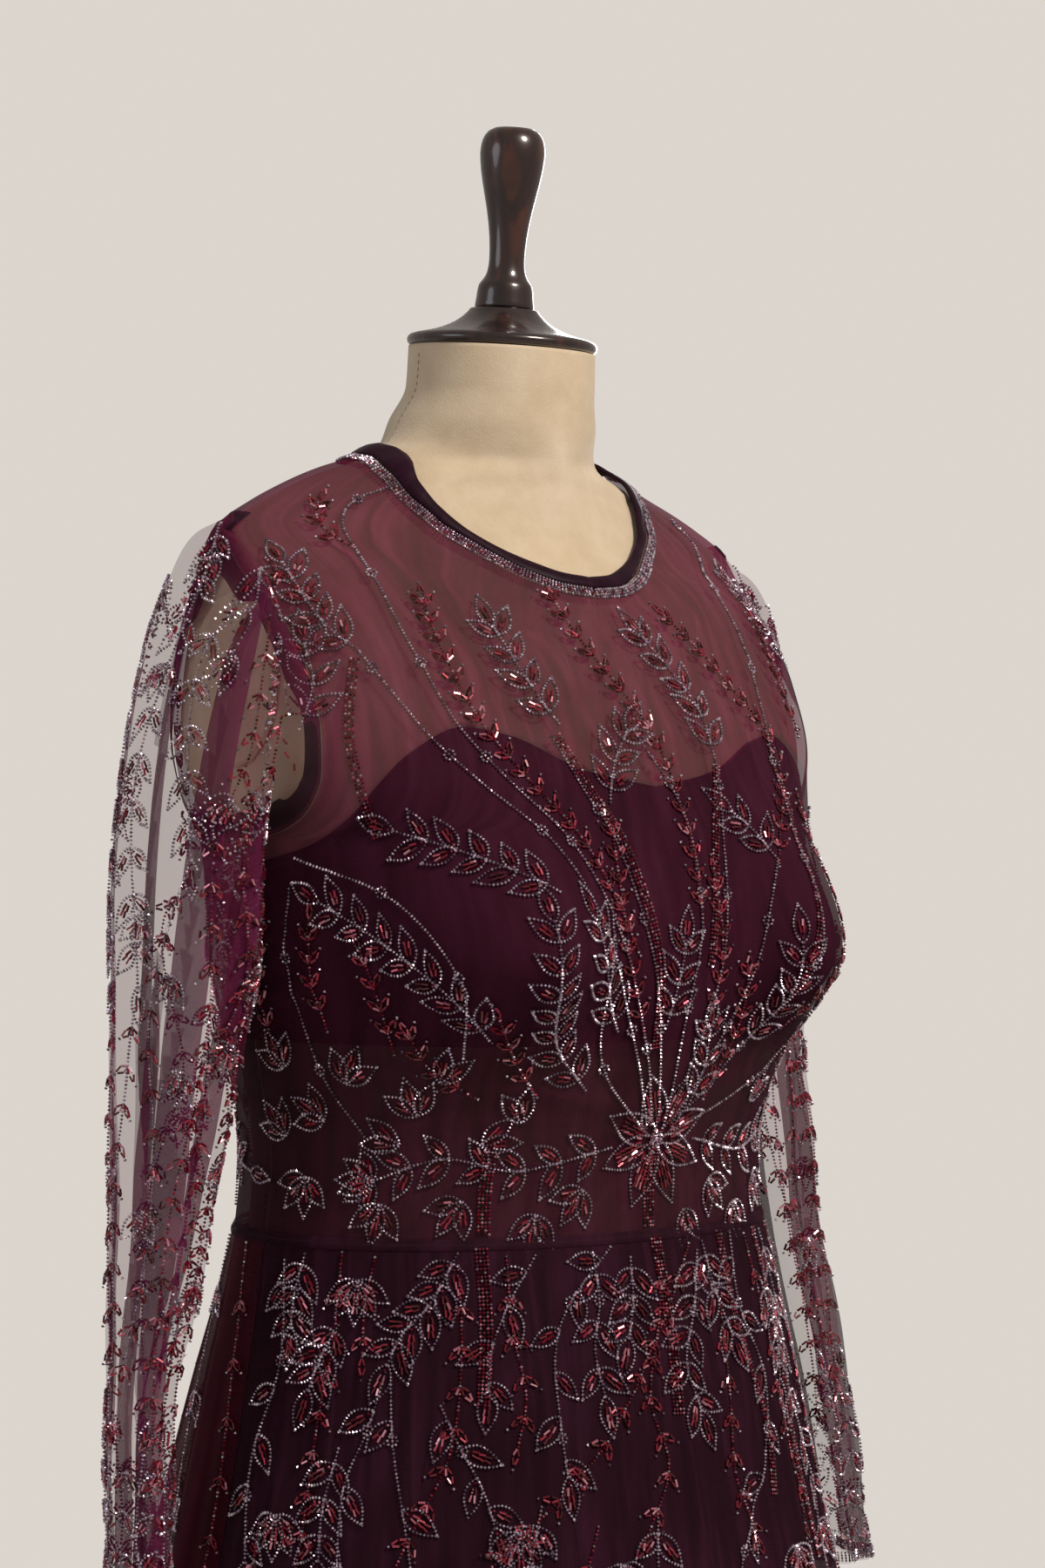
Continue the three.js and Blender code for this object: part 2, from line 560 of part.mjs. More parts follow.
// Dress form: the padded torso, its two armhole plates, the turned cap and finial, and the stand
function addDressForm() {
  const columns = 40;
  const heights = [FORM_BOTTOM, 870, 950, 1040, 1080, 1112, 1136, 1156, 1174, 1192, 1212, 1230,
    UNDERARM_HEIGHT, 1264, 1282, 1302, 1330, 1357, 1383, SHOULDER_END_HEIGHT, 1425, 1437,
    NECK_SIDE_HEIGHT, 1456, 1470, 1488, NECK_TOP_HEIGHT];
  const rings = heights.map((height) => {
    const ring = [];
    for (let column = 0; column < columns; column += 1) {
      ring.push(formPoint((360 * column) / columns, height));
    }
    return ring;
  });
  addPiece('form_torso', bodyGeometry(rings), MATERIALS.formCloth);

  for (const [name, direction] of [['right', -1], ['left', 1]]) {
    const plateProfile = [
      { radius: 0, height: 0 },
      { radius: 0.97, height: 0 },
      { radius: 1, height: 0.3 },
      { radius: 0.97, height: 0.8 },
      { radius: 0.86, height: 1 },
      { radius: 0, height: 1 },
    ];
    const plate = turnedGeometry(plateProfile, 16);
    plate.scale(PLATE.up, PLATE.across, PLATE.thickness);
    plate.rotateY(direction * (Math.PI / 2));
    const plateMesh = addPiece(`armhole_plate_${name}`, plate, MATERIALS.formCloth);
    const plateX = direction * (ARMHOLE_FACE_X + SEAM_GAP);
    plateMesh.position.set(plateX, PLATE.y, PLATE.height);

    const screwProfile = [
      { radius: 0, height: 0 },
      { radius: PLATE_SCREW.radius, height: 0 },
      { radius: PLATE_SCREW.radius, height: PLATE_SCREW.length * 0.5 },
      { radius: PLATE_SCREW.radius * 0.7, height: PLATE_SCREW.length },
      { radius: 0, height: PLATE_SCREW.length },
    ];
    const screw = turnedGeometry(screwProfile, 12);
    screw.rotateY(direction * (Math.PI / 2));
    const screwMesh = addPiece(`plate_screw_${name}`, screw, MATERIALS.steel);
    const screwX = plateX + direction * (PLATE.thickness + SEAM_GAP);
    screwMesh.position.set(screwX, PLATE.y, PLATE.height);
  }

  const turnedTop = new THREE.Group();
  turnedTop.position.set(0, NECK_TOP_Y, NECK_TOP_HEIGHT + NECK_TOP_Y * Math.tan(NECK_LEAN));
  turnedTop.rotation.x = NECK_LEAN;
  const cap = addPiece('neck_cap', turnedGeometry(CAP_PROFILE, 24), MATERIALS.darkWood);
  cap.position.z = SEAM_GAP;
  turnedTop.add(cap);
  const finial = addPiece('finial', turnedGeometry(FINIAL_PROFILE, 18), MATERIALS.darkWood);
  finial.position.z = SEAM_GAP * 2 + CAP_PROFILE[CAP_PROFILE.length - 1].height;
  turnedTop.add(finial);
  gown.add(turnedTop);

  const poleBottom = BASE_PROFILE[BASE_PROFILE.length - 1].height + SEAM_GAP;
  const poleLength = FORM_BOTTOM - SEAM_GAP - poleBottom;
  const poleGeometry = new THREE.CylinderGeometry(POLE_RADIUS, POLE_RADIUS, poleLength, 20);
  poleGeometry.rotateX(Math.PI / 2);
  const pole = addPiece('stand_pole', poleGeometry, MATERIALS.steel);
  pole.position.z = poleBottom + poleLength / 2;
  addPiece('stand_base', turnedGeometry(BASE_PROFILE, 24), MATERIALS.darkWood);
}

// Bodice: one front and two backs of beaded net, cut up to the neck
function addBodice() {
  const front = bodiceWall(frontPlaces(20));
  const back = bodiceWall(backPlaces(10));
  addPiece('bodice_front', wallGeometry(front.outer, front.inner, false), MATERIALS.net);
  addPiece('bodice_back_left', wallGeometry(back.outer, back.inner, false), MATERIALS.net);
  addPiece(
    'bodice_back_right',
    wallGeometry(mirrored(back.outer), mirrored(back.inner), false),
    MATERIALS.net,
  );
  return { front, back };
}

// Opaque bust lining with a sweetheart top edge, a front and two backs
function addBustLining() {
  const levels = [LINING_BOTTOM, 1156, 1174, 1192];
  const upperSteps = [0.2, 0.4, 0.6, 0.8, 1];
  const liningWall = (angles) => {
    const gridAt = (extra) => {
      const topOf = (angle) => smoothValue(LINING_TOP, 'angle', 'height', Math.abs(angle));
      const lowest = levels.map((height) => angles.map(() => height));
      const upper = upperSteps.map(
        (step) => angles.map((angle) => THREE.MathUtils.lerp(levels.at(-1), topOf(angle), step)),
      );
      const grid = [...lowest, ...upper].map((row) => row.map(
        (height, i) => overForm(angles[i], height, LINING_EASE + extra),
      ));
      drawBack(grid, 'start', SEAM_GAP / 2);
      drawBack(grid, 'end', SEAM_GAP / 2);
      return grid;
    };
    return { outer: gridAt(LINING_THICKNESS), inner: gridAt(0) };
  };
  const front = liningWall(anglesBetween(-SIDE_ANGLE, SIDE_ANGLE, 20));
  const back = liningWall(anglesBetween(SIDE_ANGLE, BACK_ANGLE, 10));
  addPiece('bust_lining_front', wallGeometry(front.outer, front.inner, false), MATERIALS.lining);
  addPiece('bust_lining_back_left', wallGeometry(back.outer, back.inner, false), MATERIALS.lining);
  addPiece(
    'bust_lining_back_right',
    wallGeometry(mirrored(back.outer), mirrored(back.inner), false),
    MATERIALS.lining,
  );
}

// Bound neck edge that follows the neckline all round and meets at the centre back
function addNeckBinding() {
  const front = frontPlaces(20).at(-1);
  const back = backPlaces(10).at(-1);
  const leftBack = back.slice(1);
  const rightBack = leftBack.map((place) => ({ angle: -place.angle, height: place.height })).reverse();
  const places = [...rightBack, ...front, ...leftBack];
  const rises = [SEAM_GAP + 0.2, BINDING_WIDTH / 2, BINDING_WIDTH];
  const gridAt = (gap) => rises.map((rise) => places.map((place) => {
    const here = overForm(place.angle, place.height, gap);
    const above = overForm(place.angle, place.height + 1, gap);
    return overForm(place.angle, place.height + rise / here.distanceTo(above), gap);
  }));
  const ease = bodiceEase(NECK_SIDE_HEIGHT) + 0.3;
  const outer = gridAt(ease + BINDING_THICKNESS);
  const inner = gridAt(ease);
  for (const grid of [outer, inner]) {
    drawBack(grid, 'start', SEAM_GAP / 2);
    drawBack(grid, 'end', SEAM_GAP / 2);
  }
  addPiece('neck_binding', wallGeometry(outer, inner, false), MATERIALS.binding);
}

// Covered button on the left back, just below the binding
function addBackButton() {
  const profile = [
    { radius: 0, height: 0 },
    { radius: BUTTON.radius * 0.8, height: 0 },
    { radius: BUTTON.radius, height: BUTTON.thickness * 0.35 },
    { radius: BUTTON.radius * 0.8, height: BUTTON.thickness * 0.8 },
    { radius: 0, height: BUTTON.thickness },
  ];
  const height = BACK_ROWS.at(-1).middle - BUTTON.belowNeck;
  const gap = bodiceEase(height) + NET_THICKNESS + BUTTON.standOff;
  const seat = overForm(BUTTON.angle, height, gap);
  const out = overForm(BUTTON.angle, height, gap + 1).sub(seat).normalize();
  const button = addPiece('back_button', turnedGeometry(profile, 12), MATERIALS.binding);
  button.position.copy(seat);
  button.quaternion.setFromUnitVectors(new THREE.Vector3(0, 0, 1), out);
}

// The armhole edge of the bodice as one ring: down the front edge and up the back edge
function armholeRing(bodice) {
  const front = bodice.front.outer.map((row) => row.at(-1));
  const back = bodice.back.outer.map((row) => row[0]);
  const middle = (row) => front[row].clone().add(back[row]).multiplyScalar(0.5);
  const corners = [middle(SHOULDER_END_ROW)];
  for (let row = SHOULDER_END_ROW - 1; row > UNDERARM_ROW; row -= 1) {
    corners.push(front[row].clone());
  }
  corners.push(middle(UNDERARM_ROW));
  for (let row = UNDERARM_ROW + 1; row < SHOULDER_END_ROW; row += 1) {
    corners.push(back[row].clone());
  }
  const ring = [];
  corners.forEach((corner, i) => {
    const next = corners[(i + 1) % corners.length];
    ring.push(corner, corner.clone().add(next).multiplyScalar(0.5));
  });
  const { shoulder, underarm } = SLEEVE_SEAM_STEP;
  return ring.map((point) => {
    const down = (SHOULDER_END_HEIGHT - point.z) / (SHOULDER_END_HEIGHT - UNDERARM_HEIGHT);
    return point.setX(point.x + THREE.MathUtils.lerp(shoulder, underarm, down));
  });
}

// A limp sleeve: a tube of net that hangs from the armhole seam, with soft lengthwise folds
function sleeveGrid(firstRing, ringRows, phase) {
  const columns = firstRing.length;
  const outer = [firstRing];
  for (const row of ringRows) {
    const tilt = THREE.MathUtils.degToRad(row.tilt);
    const upper = new THREE.Vector3(Math.cos(tilt), 0, Math.sin(tilt));
    const ring = [];
    for (let column = 0; column < columns; column += 1) {
      const turn = (2 * Math.PI * column) / columns;
      const fold = row.fold * Math.cos(SLEEVE_FOLD_COUNT * turn + phase);
      const point = new THREE.Vector3(row.x, row.y, row.height);
      point.addScaledVector(upper, (row.across + fold) * Math.cos(turn));
      point.y -= (row.depth + fold) * Math.sin(turn);
      ring.push(point);
    }
    outer.push(ring);
  }
  const inner = outer.map((ring, row) => ring.map((point, column) => {
    const before = ring[(column + columns - 1) % columns];
    const after = ring[(column + 1) % columns];
    const above = outer[Math.max(row - 1, 0)][column];
    const below = outer[Math.min(row + 1, outer.length - 1)][column];
    const out = after.clone().sub(before).cross(above.clone().sub(below)).normalize();
    return point.clone().addScaledVector(out, -NET_THICKNESS);
  }));
  return { outer, inner };
}

function addSleeves(bodice) {
  const right = sleeveGrid(armholeRing(bodice), RIGHT_SLEEVE_RINGS, 0.9);
  const left = sleeveGrid(armholeRing(bodice), LEFT_SLEEVE_RINGS, 2.1);
  addPiece(
    'sleeve_right',
    wallGeometry(mirrored(right.outer), mirrored(right.inner), true),
    MATERIALS.net,
  );
  addPiece('sleeve_left', wallGeometry(left.outer, left.inner, true), MATERIALS.net);
}

// A point of the skirt at an angle round the body and a height, drawn in by an inset
function skirtPoint(angle, height, inset, folded) {
  const read = (column) => smoothValue(SKIRT_SECTIONS, 'height', column, height);
  let fold = 0;
  for (const row of SKIRT_FOLDS) {
    const apart = ((angle - row.angle + 540) % 360) - 180;
    fold += row.out * bell(apart, row.width);
  }
  const out = folded ? fold * read('folds') : 0;
  const wide = out - inset;
  const depth = Math.cos(THREE.MathUtils.degToRad(angle)) > 0 ? read('front') : read('back');
  const oval = ovalPoint(angle, read('side') + wide, depth + wide, SKIRT_POWER, SKIRT_POWER);
  return new THREE.Vector3(oval.x, oval.y, height);
}

function skirtWall(angles, heights, inset, folded, thickness) {
  const gridAt = (extra) => {
    const grid = heights.map(
      (height) => angles.map((angle) => skirtPoint(angle, height, inset - extra, folded)),
    );
    for (const edge of ['top', 'start', 'end']) {
      drawBack(grid, edge, SEAM_GAP / 2);
    }
    return grid;
  };
  return wallGeometry(gridAt(thickness), gridAt(0), false);
}

// Skirt: three flared panels of beaded net over a plain flared lining in front and back halves
function addSkirt() {
  const heights = [HEM_HEIGHT, 100, 210, 330, 460, 590, 700, 790, 860, 915, 965, 1005,
    WAIST_SEAM_HEIGHT];
  const panels = [
    { name: 'skirt_front', from: -90, to: 90, count: 30 },
    { name: 'skirt_back_left', from: 90, to: 180, count: 15 },
    { name: 'skirt_back_right', from: 180, to: 270, count: 15 },
  ];
  for (const panel of panels) {
    const angles = anglesBetween(panel.from, panel.to, panel.count);
    addPiece(panel.name, skirtWall(angles, heights, 0, true, NET_THICKNESS), MATERIALS.net);
  }
  const liningHeights = [SKIRT_LINING_HEM, 330, 590, 790, 915, 1038];
  const halves = [
    { name: 'skirt_lining_front', from: -90, to: 90 },
    { name: 'skirt_lining_back', from: 90, to: 270 },
  ];
  for (const half of halves) {
    const angles = anglesBetween(half.from, half.to, 18);
    const columnsPoints = (extra) => {
      const grid = liningHeights.map((height) => {
        const flare = (WAIST_SEAM_HEIGHT - height) / WAIST_SEAM_HEIGHT;
        const inset = LINING_THICKNESS + 0.9 + SKIRT_LINING_INSET * Math.min(1, flare * 4);
        return angles.map((angle) => skirtPoint(angle, height, inset - extra, false));
      });
      drawBack(grid, 'start', SEAM_GAP / 2);
      drawBack(grid, 'end', SEAM_GAP / 2);
      return grid;
    };
    const geometry = wallGeometry(columnsPoints(LINING_THICKNESS), columnsPoints(0), false);
    addPiece(half.name, geometry, MATERIALS.lining);
  }
}

addDressForm();
const bodice = addBodice();
addBustLining();
addNeckBinding();
addBackButton();
addSleeves(bodice);
addSkirt();

export default gown;
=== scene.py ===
# %% [markdown]
# An evening gown of beaded plum net, worn by a limbless dress form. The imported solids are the
# frame: their places and sizes are right, and this script gives them cloth, beads, wood and light.

# %% Load the frame
import math
import bmesh
import bpy
import numpy as np
from mathutils import Matrix, Vector


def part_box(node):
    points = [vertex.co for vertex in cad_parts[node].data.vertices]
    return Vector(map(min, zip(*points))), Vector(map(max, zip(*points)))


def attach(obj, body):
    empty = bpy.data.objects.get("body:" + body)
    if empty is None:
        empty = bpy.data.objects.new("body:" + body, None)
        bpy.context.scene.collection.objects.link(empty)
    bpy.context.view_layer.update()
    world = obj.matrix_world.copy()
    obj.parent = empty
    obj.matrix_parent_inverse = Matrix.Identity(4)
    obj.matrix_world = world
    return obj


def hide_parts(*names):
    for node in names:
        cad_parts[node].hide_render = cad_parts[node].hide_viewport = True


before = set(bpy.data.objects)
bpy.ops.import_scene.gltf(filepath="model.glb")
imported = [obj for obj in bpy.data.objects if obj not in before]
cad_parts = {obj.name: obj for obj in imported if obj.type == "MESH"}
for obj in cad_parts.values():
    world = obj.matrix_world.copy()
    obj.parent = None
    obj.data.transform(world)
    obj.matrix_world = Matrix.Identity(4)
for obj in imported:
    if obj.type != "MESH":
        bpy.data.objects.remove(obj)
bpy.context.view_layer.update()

# %% [markdown]
# The gown's shape comes from short tables in millimetres, the same as the solids were cut by. A
# smooth curve through each column gives every height between the rows, so that the cloth made
# here is far finer than the solids and still lies on them.

# %% Tables and a smooth curve through a column
MM = 0.001


def table(columns, rows):
    names = ["row"] + columns.split()
    return dict(zip(names, np.array([(i, *row) for i, row in enumerate(rows)], float).T))


def each(rows):
    """The rows of a table, one after another, by the names of its columns."""
    return [dict(zip(rows, values)) for values in zip(*rows.values())]


def smooth_value(rows, key, column, at):
    keys, values = rows[key], rows[column]
    at = np.clip(at, keys[0], keys[-1])
    low = np.clip(np.searchsorted(keys, at) - 1, 0, len(keys) - 2)
    width = np.diff(keys)
    slope = np.diff(values) / width
    before, after = slope[:-1], slope[1:]
    turns = before * after <= 0
    inner = np.where(turns, 0, 2 * before * after / np.where(turns, 1, before + after))
    tangent = np.concatenate([slope[:1], inner, slope[-1:]])
    t = (at - keys[low]) / width[low]
    from_low = (1 + 2 * t) * (1 - t) ** 2 * values[low]
    from_high = t * t * (3 - 2 * t) * values[low + 1]
    bend = t * (1 - t) ** 2 * tangent[low] - t * t * (1 - t) * tangent[low + 1]
    return from_low + from_high + bend * width[low]


def bell(distance, reach):
    return np.exp(-((distance / reach) ** 2))


def smooth_step(at, low, high):
    t = np.clip((at - low) / (high - low), 0, 1)
    return t * t * (3 - 2 * t)


def within_half_turn(degrees):
    return (degrees + 180) % 360 - 180


def run_of(points):
    """How far along a line of points each of them lies."""
    return np.concatenate([[0], np.linalg.norm(np.diff(points, axis=0), axis=1).cumsum()])


# %% The dress form's sections
WAIST_SEAM_HEIGHT = 1040
UNDERARM_HEIGHT = 1245
SHOULDER_END_HEIGHT = 1413
NECK_SIDE_HEIGHT = 1447
NECK_TOP_HEIGHT = 1512
NECK_TOP_Y = -1
NECK_LEAN = math.radians(5)
ARMHOLE_FACE_X = 171
FORM_BOTTOM = 790

FORM_SECTIONS = table("height side front back ridge", [
    (790, 164, 112, 128, 0), (860, 168, 117, 132, 0), (930, 164, 115, 120, 0),
    (1040, 148, 110, 104, 0), (1080, 146, 111, 102, 0), (1130, 154, 123, 106, 0),
    (1190, 166, 133, 113, 0), (1240, 169, 130, 118, 0), (1270, 180, 123, 120, 0),
    (1300, 188, 115, 119, 1), (1330, 189, 103, 116, 2), (1355, 187, 91, 110, 4),
    (1378, 182, 79, 103, 6), (1394, 177, 71, 97, 8), (1407, 170, 67, 91, 10),
    (1420, 152, 66, 85, 12), (1431, 130, 66, 78, 14), (1440, 107, 67, 71, 16),
    (1448, 82, 67, 65, 16), (1458, 64, 63, 57, 12), (1472, 57, 58, 57, 7),
    (1490, 51.5, 52.5, 51, 1), (1512, 51, 51, 51, NECK_TOP_Y),
])
FORM_ROUNDING = table("height front tip back", [
    (790, 2.2, 2.2, 2.2), (930, 2.2, 2.2, 2.2), (1040, 2.1, 2.1, 2.1), (1240, 2.1, 2.1, 2.1),
    (1270, 2.2, 2.2, 2.2), (1300, 2.2, 2.2, 2.2), (1330, 2, 2.1, 2.1), (1355, 1.8, 2, 2),
    (1378, 1.5, 1.7, 1.9), (1394, 1.3, 1.3, 1.8), (1407, 1.28, 1.1, 1.7),
    (1420, 1.25, 1, 1.6), (1431, 1.25, 1.05, 1.55), (1440, 1.3, 1.2, 1.55),
    (1448, 1.35, 1.25, 1.6), (1458, 1.6, 1.6, 1.8), (1472, 1.9, 1.9, 2), (1490, 2, 2, 2),
])
BUST = {"x": 100, "height": 1186, "depth": 40, "cup_ease": 5.6, "half_width": 46,
        "reach_up": 62, "reach_down": 40}
BRIDGE = {"height": 1190, "depth": 11, "half_width": 42, "reach": 66}


def oval_point(angle, side, depth, power, tip_power):
    turn = np.radians(angle)
    sine, cosine = np.sin(turn), np.cos(turn)
    x = side * np.sign(sine) * np.abs(sine) ** (2 / power)
    y = -depth * np.sign(cosine) * np.abs(cosine) ** (2 / tip_power)
    return x, y


def form_point(angle, height, bust_depth=BUST["depth"]):
    angle, height = np.broadcast_arrays(np.asarray(angle, float), np.asarray(height, float))

    def read(column):
        return smooth_value(FORM_SECTIONS, "height", column, height)

    def rounding(column):
        return smooth_value(FORM_ROUNDING, "height", column, height)

    frontness = np.maximum(0, np.cos(np.radians(angle)))
    is_front = frontness > 1e-12
    depth = np.where(is_front, read("front"), read("back"))
    power = np.where(is_front, rounding("front"), rounding("back"))
    tip = np.where(is_front, rounding("tip"), rounding("back"))
    x, y = oval_point(angle, read("side"), depth, power, tip)
    reach = np.where(height > BUST["height"], BUST["reach_up"], BUST["reach_down"])
    bust = (bust_depth * bell(np.abs(x) - BUST["x"], BUST["half_width"])
            * bell(height - BUST["height"], reach) * (1 - (1 - frontness) ** 4))
    y = y + read("ridge") - bust
    x = np.clip(x, -ARMHOLE_FACE_X, ARMHOLE_FACE_X)
    lean = smooth_step(height, SHOULDER_END_HEIGHT, NECK_TOP_HEIGHT)
    return np.stack([x, y, height + y * math.tan(NECK_LEAN) * lean], -1)


def unit(vectors):
    return vectors / np.maximum(np.linalg.norm(vectors, axis=-1, keepdims=True), 1e-9)


def form_normal(angle, height, bust_depth=BUST["depth"]):
    step = 0.5
    along = (form_point(angle + step, height, bust_depth)
             - form_point(angle - step, height, bust_depth))
    up = form_point(angle, height + step, bust_depth) - form_point(angle, height - step, bust_depth)
    return unit(np.cross(along, up))


def over_form(angle, height, gap):
    """A point of the gown so far from the form. The cloth doesn't dip between the cups as the
    form does: it bridges them."""
    angle, height = np.broadcast_arrays(np.asarray(angle, float), np.asarray(height, float))
    full = BUST["depth"] + BUST["cup_ease"]
    point = (form_point(angle, height, full)
             + form_normal(angle, height, full) * np.asarray(gap)[..., None])
    bridge = (BRIDGE["depth"] * bell(point[..., 0], BRIDGE["half_width"])
              * bell(height - BRIDGE["height"], BRIDGE["reach"]))
    point[..., 1] -= np.where(np.abs(within_half_turn(angle)) < 90, bridge, 0)
    return point


print("form bust point, mm:", np.round(form_point(37, BUST["height"]), 1))

# %% [markdown]
# A made-up gown is never as smooth as its pattern. Net pulls into soft lines from the underarm to
# the bust, under the bust, and across the yoke. Each line here is given in a row of a
# table: where it lies, which way it runs, how long and wide it is, and how far it stands out.

# %% Creases of the bodice
BODICE_EASE = table("height ease", [
    (1040, 7), (1080, 6), (1130, 6.2), (1190, 4.6), (1250, 5.5), (1310, 4.2), (1370, 3.8),
    (1407, 3.6), (1425, 2.6), (1480, 2.2),
])
BODICE_CREASES = table("angle height run length width out", [
    (-74, 1196, 28, 46, 5, 1.9), (-68, 1222, 36, 38, 4, 1.5), (-80, 1168, 12, 40, 5, 1.7),
    (-60, 1128, -8, 34, 4, 1.6), (-44, 1118, 6, 40, 4, 1.5), (-20, 1116, -12, 34, 4, 1.3),
    (-52, 1100, 18, 30, 4, 1.4), (-8, 1098, 30, 26, 4, 1.1), (22, 1120, 14, 36, 4, 1.5),
    (44, 1112, -10, 34, 4, 1.4), (64, 1126, 12, 34, 4, 1.6), (76, 1190, -30, 44, 5, 1.8),
    (70, 1220, -38, 36, 4, 1.5), (-38, 1330, 62, 34, 5, 0.9), (-22, 1352, 70, 26, 4, 0.8),
    (-56, 1352, 48, 28, 5, 1), (34, 1342, -58, 32, 5, 0.9), (52, 1368, -44, 24, 4, 0.9),
    (-14, 1304, 84, 28, 5, 0.8), (12, 1316, 96, 26, 4, 0.7), (-30, 1060, 80, 18, 4, 1.2),
    (-64, 1062, 84, 20, 4, 1.3), (12, 1058, 88, 18, 4, 1.1), (48, 1062, 96, 18, 4, 1.2),
    (112, 1196, -24, 42, 5, 1.6), (130, 1240, -38, 36, 5, 1.4), (150, 1120, 8, 40, 5, 1.5),
    (168, 1090, -10, 34, 4, 1.3), (104, 1126, 14, 36, 5, 1.4), (146, 1330, 58, 34, 5, 1),
    (-110, 1190, 26, 44, 5, 1.6), (-134, 1232, 40, 36, 5, 1.4), (-152, 1112, -8, 38, 5, 1.5),
    (-170, 1146, 12, 34, 4, 1.2), (-100, 1112, -16, 34, 5, 1.4), (-142, 1352, -62, 34, 5, 1),
])
MM_PER_DEGREE = 2.7
CREASE_BOW = 0.016
NET_HALF = 0.5  # half the thickness of the net, which is 1 mm in the solids


def crease_height(creases, angle, height):
    total = np.zeros(np.broadcast(angle, height).shape)
    for c in each(creases):
        east = within_half_turn(angle - c["angle"]) * MM_PER_DEGREE
        north = height - c["height"]
        run = math.radians(c["run"])
        bow = CREASE_BOW * (east ** 2 + north ** 2) ** 0.5
        along = east * math.cos(run) + north * math.sin(run)
        aside = north * math.cos(run) - east * math.sin(run) - bow
        total = total + c["out"] * bell(along, c["length"]) * bell(aside, c["width"])
    return total


def bodice_point(angle, height, lift=0.0):
    ease = smooth_value(BODICE_EASE, "height", "ease", height)
    return over_form(angle, height,
                     ease + NET_HALF + crease_height(BODICE_CREASES, angle, height) + lift)


print("creases of the bodice:", len(BODICE_CREASES["row"]))

# %% Cut edges of the bodice: side seam, armhole, shoulder and neckline
# Each row of the cloth by the angle and height of its edge, and its heights in the middle of the
# front and of the back. A back's edge lies as far from its middle as the front's does.
CUT_ROWS = table("edge_angle edge front_middle back_middle", [
    (90, 1040, 1040, 1040), (90, 1080, 1080, 1080), (90, 1112, 1112, 1112),
    (90, 1136, 1136, 1136), (90, 1156, 1156, 1157), (90, 1174, 1174, 1177),
    (90, 1192, 1192, 1198), (90, 1212, 1212, 1220), (90, 1230, 1230, 1241),
    (90, UNDERARM_HEIGHT, 1245, 1260), (79, 1249, 1254, 1278), (69, 1259, 1264, 1296),
    (62, 1278, 1277, 1315), (59.5, 1303, 1292, 1335), (61, 1330, 1308, 1355),
    (66, 1357, 1323, 1375), (76, 1383, 1337, 1395), (90, SHOULDER_END_HEIGHT, 1348, 1414),
    (90, 1425, 1358, 1431), (90, 1437, 1367, 1447), (90, NECK_SIDE_HEIGHT, 1375, 1461),
])
UNDERARM_ROW = 9
SHOULDER_END_ROW = 17
TOP_ROW = 20
ARMHOLE_ROWS = 2 * (SHOULDER_END_ROW - UNDERARM_ROW)
NECK_CURVE = table("across rise", [
    (0, 0), (0.1, 0.02), (0.2, 0.1), (0.27, 0.2), (0.36, 0.4), (0.47, 0.65), (0.6, 0.85),
    (0.8, 0.97), (1, 1),
])


def cut_value(column, row):
    return smooth_value(CUT_ROWS, "row", column, row)


def cut_height(middle_column, across, row):
    rise = smooth_value(NECK_CURVE, "across", "rise", np.abs(across))
    middle = cut_value(middle_column, row)
    return middle + (cut_value("edge", row) - middle) * rise


def front_place(across, row):
    """Angle and height of the front there: across is -1 and 1 at its edges, 0 in its middle."""
    return across * cut_value("edge_angle", row), cut_height("front_middle", across, row)


def back_place(across, row):
    angle = 180 - cut_value("edge_angle", row) * np.abs(across)
    return np.where(across < 0, -angle, angle), cut_height("back_middle", across, row)


def armhole_place(turn):
    """Angle and height of the armhole's edge: turn goes round it from its top, front first."""
    corner = (turn / (2 * math.pi) * ARMHOLE_ROWS) % ARMHOLE_ROWS
    in_front = corner <= ARMHOLE_ROWS / 2
    row = np.where(in_front, SHOULDER_END_ROW - corner, corner + 1)
    angle = cut_value("edge_angle", row)
    return np.where(in_front, angle, 180 - angle), cut_value("edge", row)


# %% [markdown]
# Cloth is built as a grid of points that becomes one sheet of faces. The grid also gives the
# sheet its UV map, in metres along the cloth, so that a weave keeps its real scale everywhere.

# %% Helpers that make meshes, and turn a grid of points into a sheet
def add_object(name, data):
    """An object of the scene with this mesh, lamp or camera in it."""
    made = bpy.data.objects.new(name, data)
    bpy.context.scene.collection.objects.link(made)
    return made


def new_piece(name, points, faces, edges=()):
    """A piece of the scene from its points in millimetres."""
    mesh = bpy.data.meshes.new(name)
    mesh.from_pydata((points.reshape(-1, 3) * MM).tolist(), list(edges), faces)
    mesh.update()
    return add_object(name, mesh)


def four_corners(cells, axis):
    """The corners of each cell of a grid, in their order round the cell."""
    return np.stack([cells[:-1, :-1], cells[:-1, 1:], cells[1:, 1:], cells[1:, :-1]], axis)


def mean_run(grid, axis):
    """How far along the cloth each line of the grid lies, in metres."""
    steps = np.linalg.norm(np.diff(grid, axis=axis), axis=-1).mean(1 - axis)
    return np.concatenate([[0], steps.cumsum() * MM])


def grid_sheet(name, grid, closed=False):
    rows, columns = grid.shape[:2]
    index, run = np.arange(rows * columns).reshape(rows, columns), grid
    if closed:
        index, run = (np.concatenate([cells, cells[:, :1]], 1) for cells in (index, grid))
    piece = new_piece(name, grid, four_corners(index, -1).reshape(-1, 4).tolist())
    uv = np.stack(np.meshgrid(mean_run(run, 1), mean_run(run, 0)), -1)
    layer = piece.data.uv_layers.new(name="cloth")
    layer.data.foreach_set("uv", four_corners(uv, 2).reshape(-1).astype(np.float32))
    piece.data.polygons.foreach_set("use_smooth", np.ones(len(piece.data.polygons), bool))
    return piece


def print_area(piece):
    print(piece.name, "area m2:", round(sum(part.area for part in piece.data.polygons), 4))


def finish_piece(piece, material, *nodes):
    piece.data.materials.append(material)
    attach(piece, "root")
    if nodes:
        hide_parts(*nodes)
    return piece


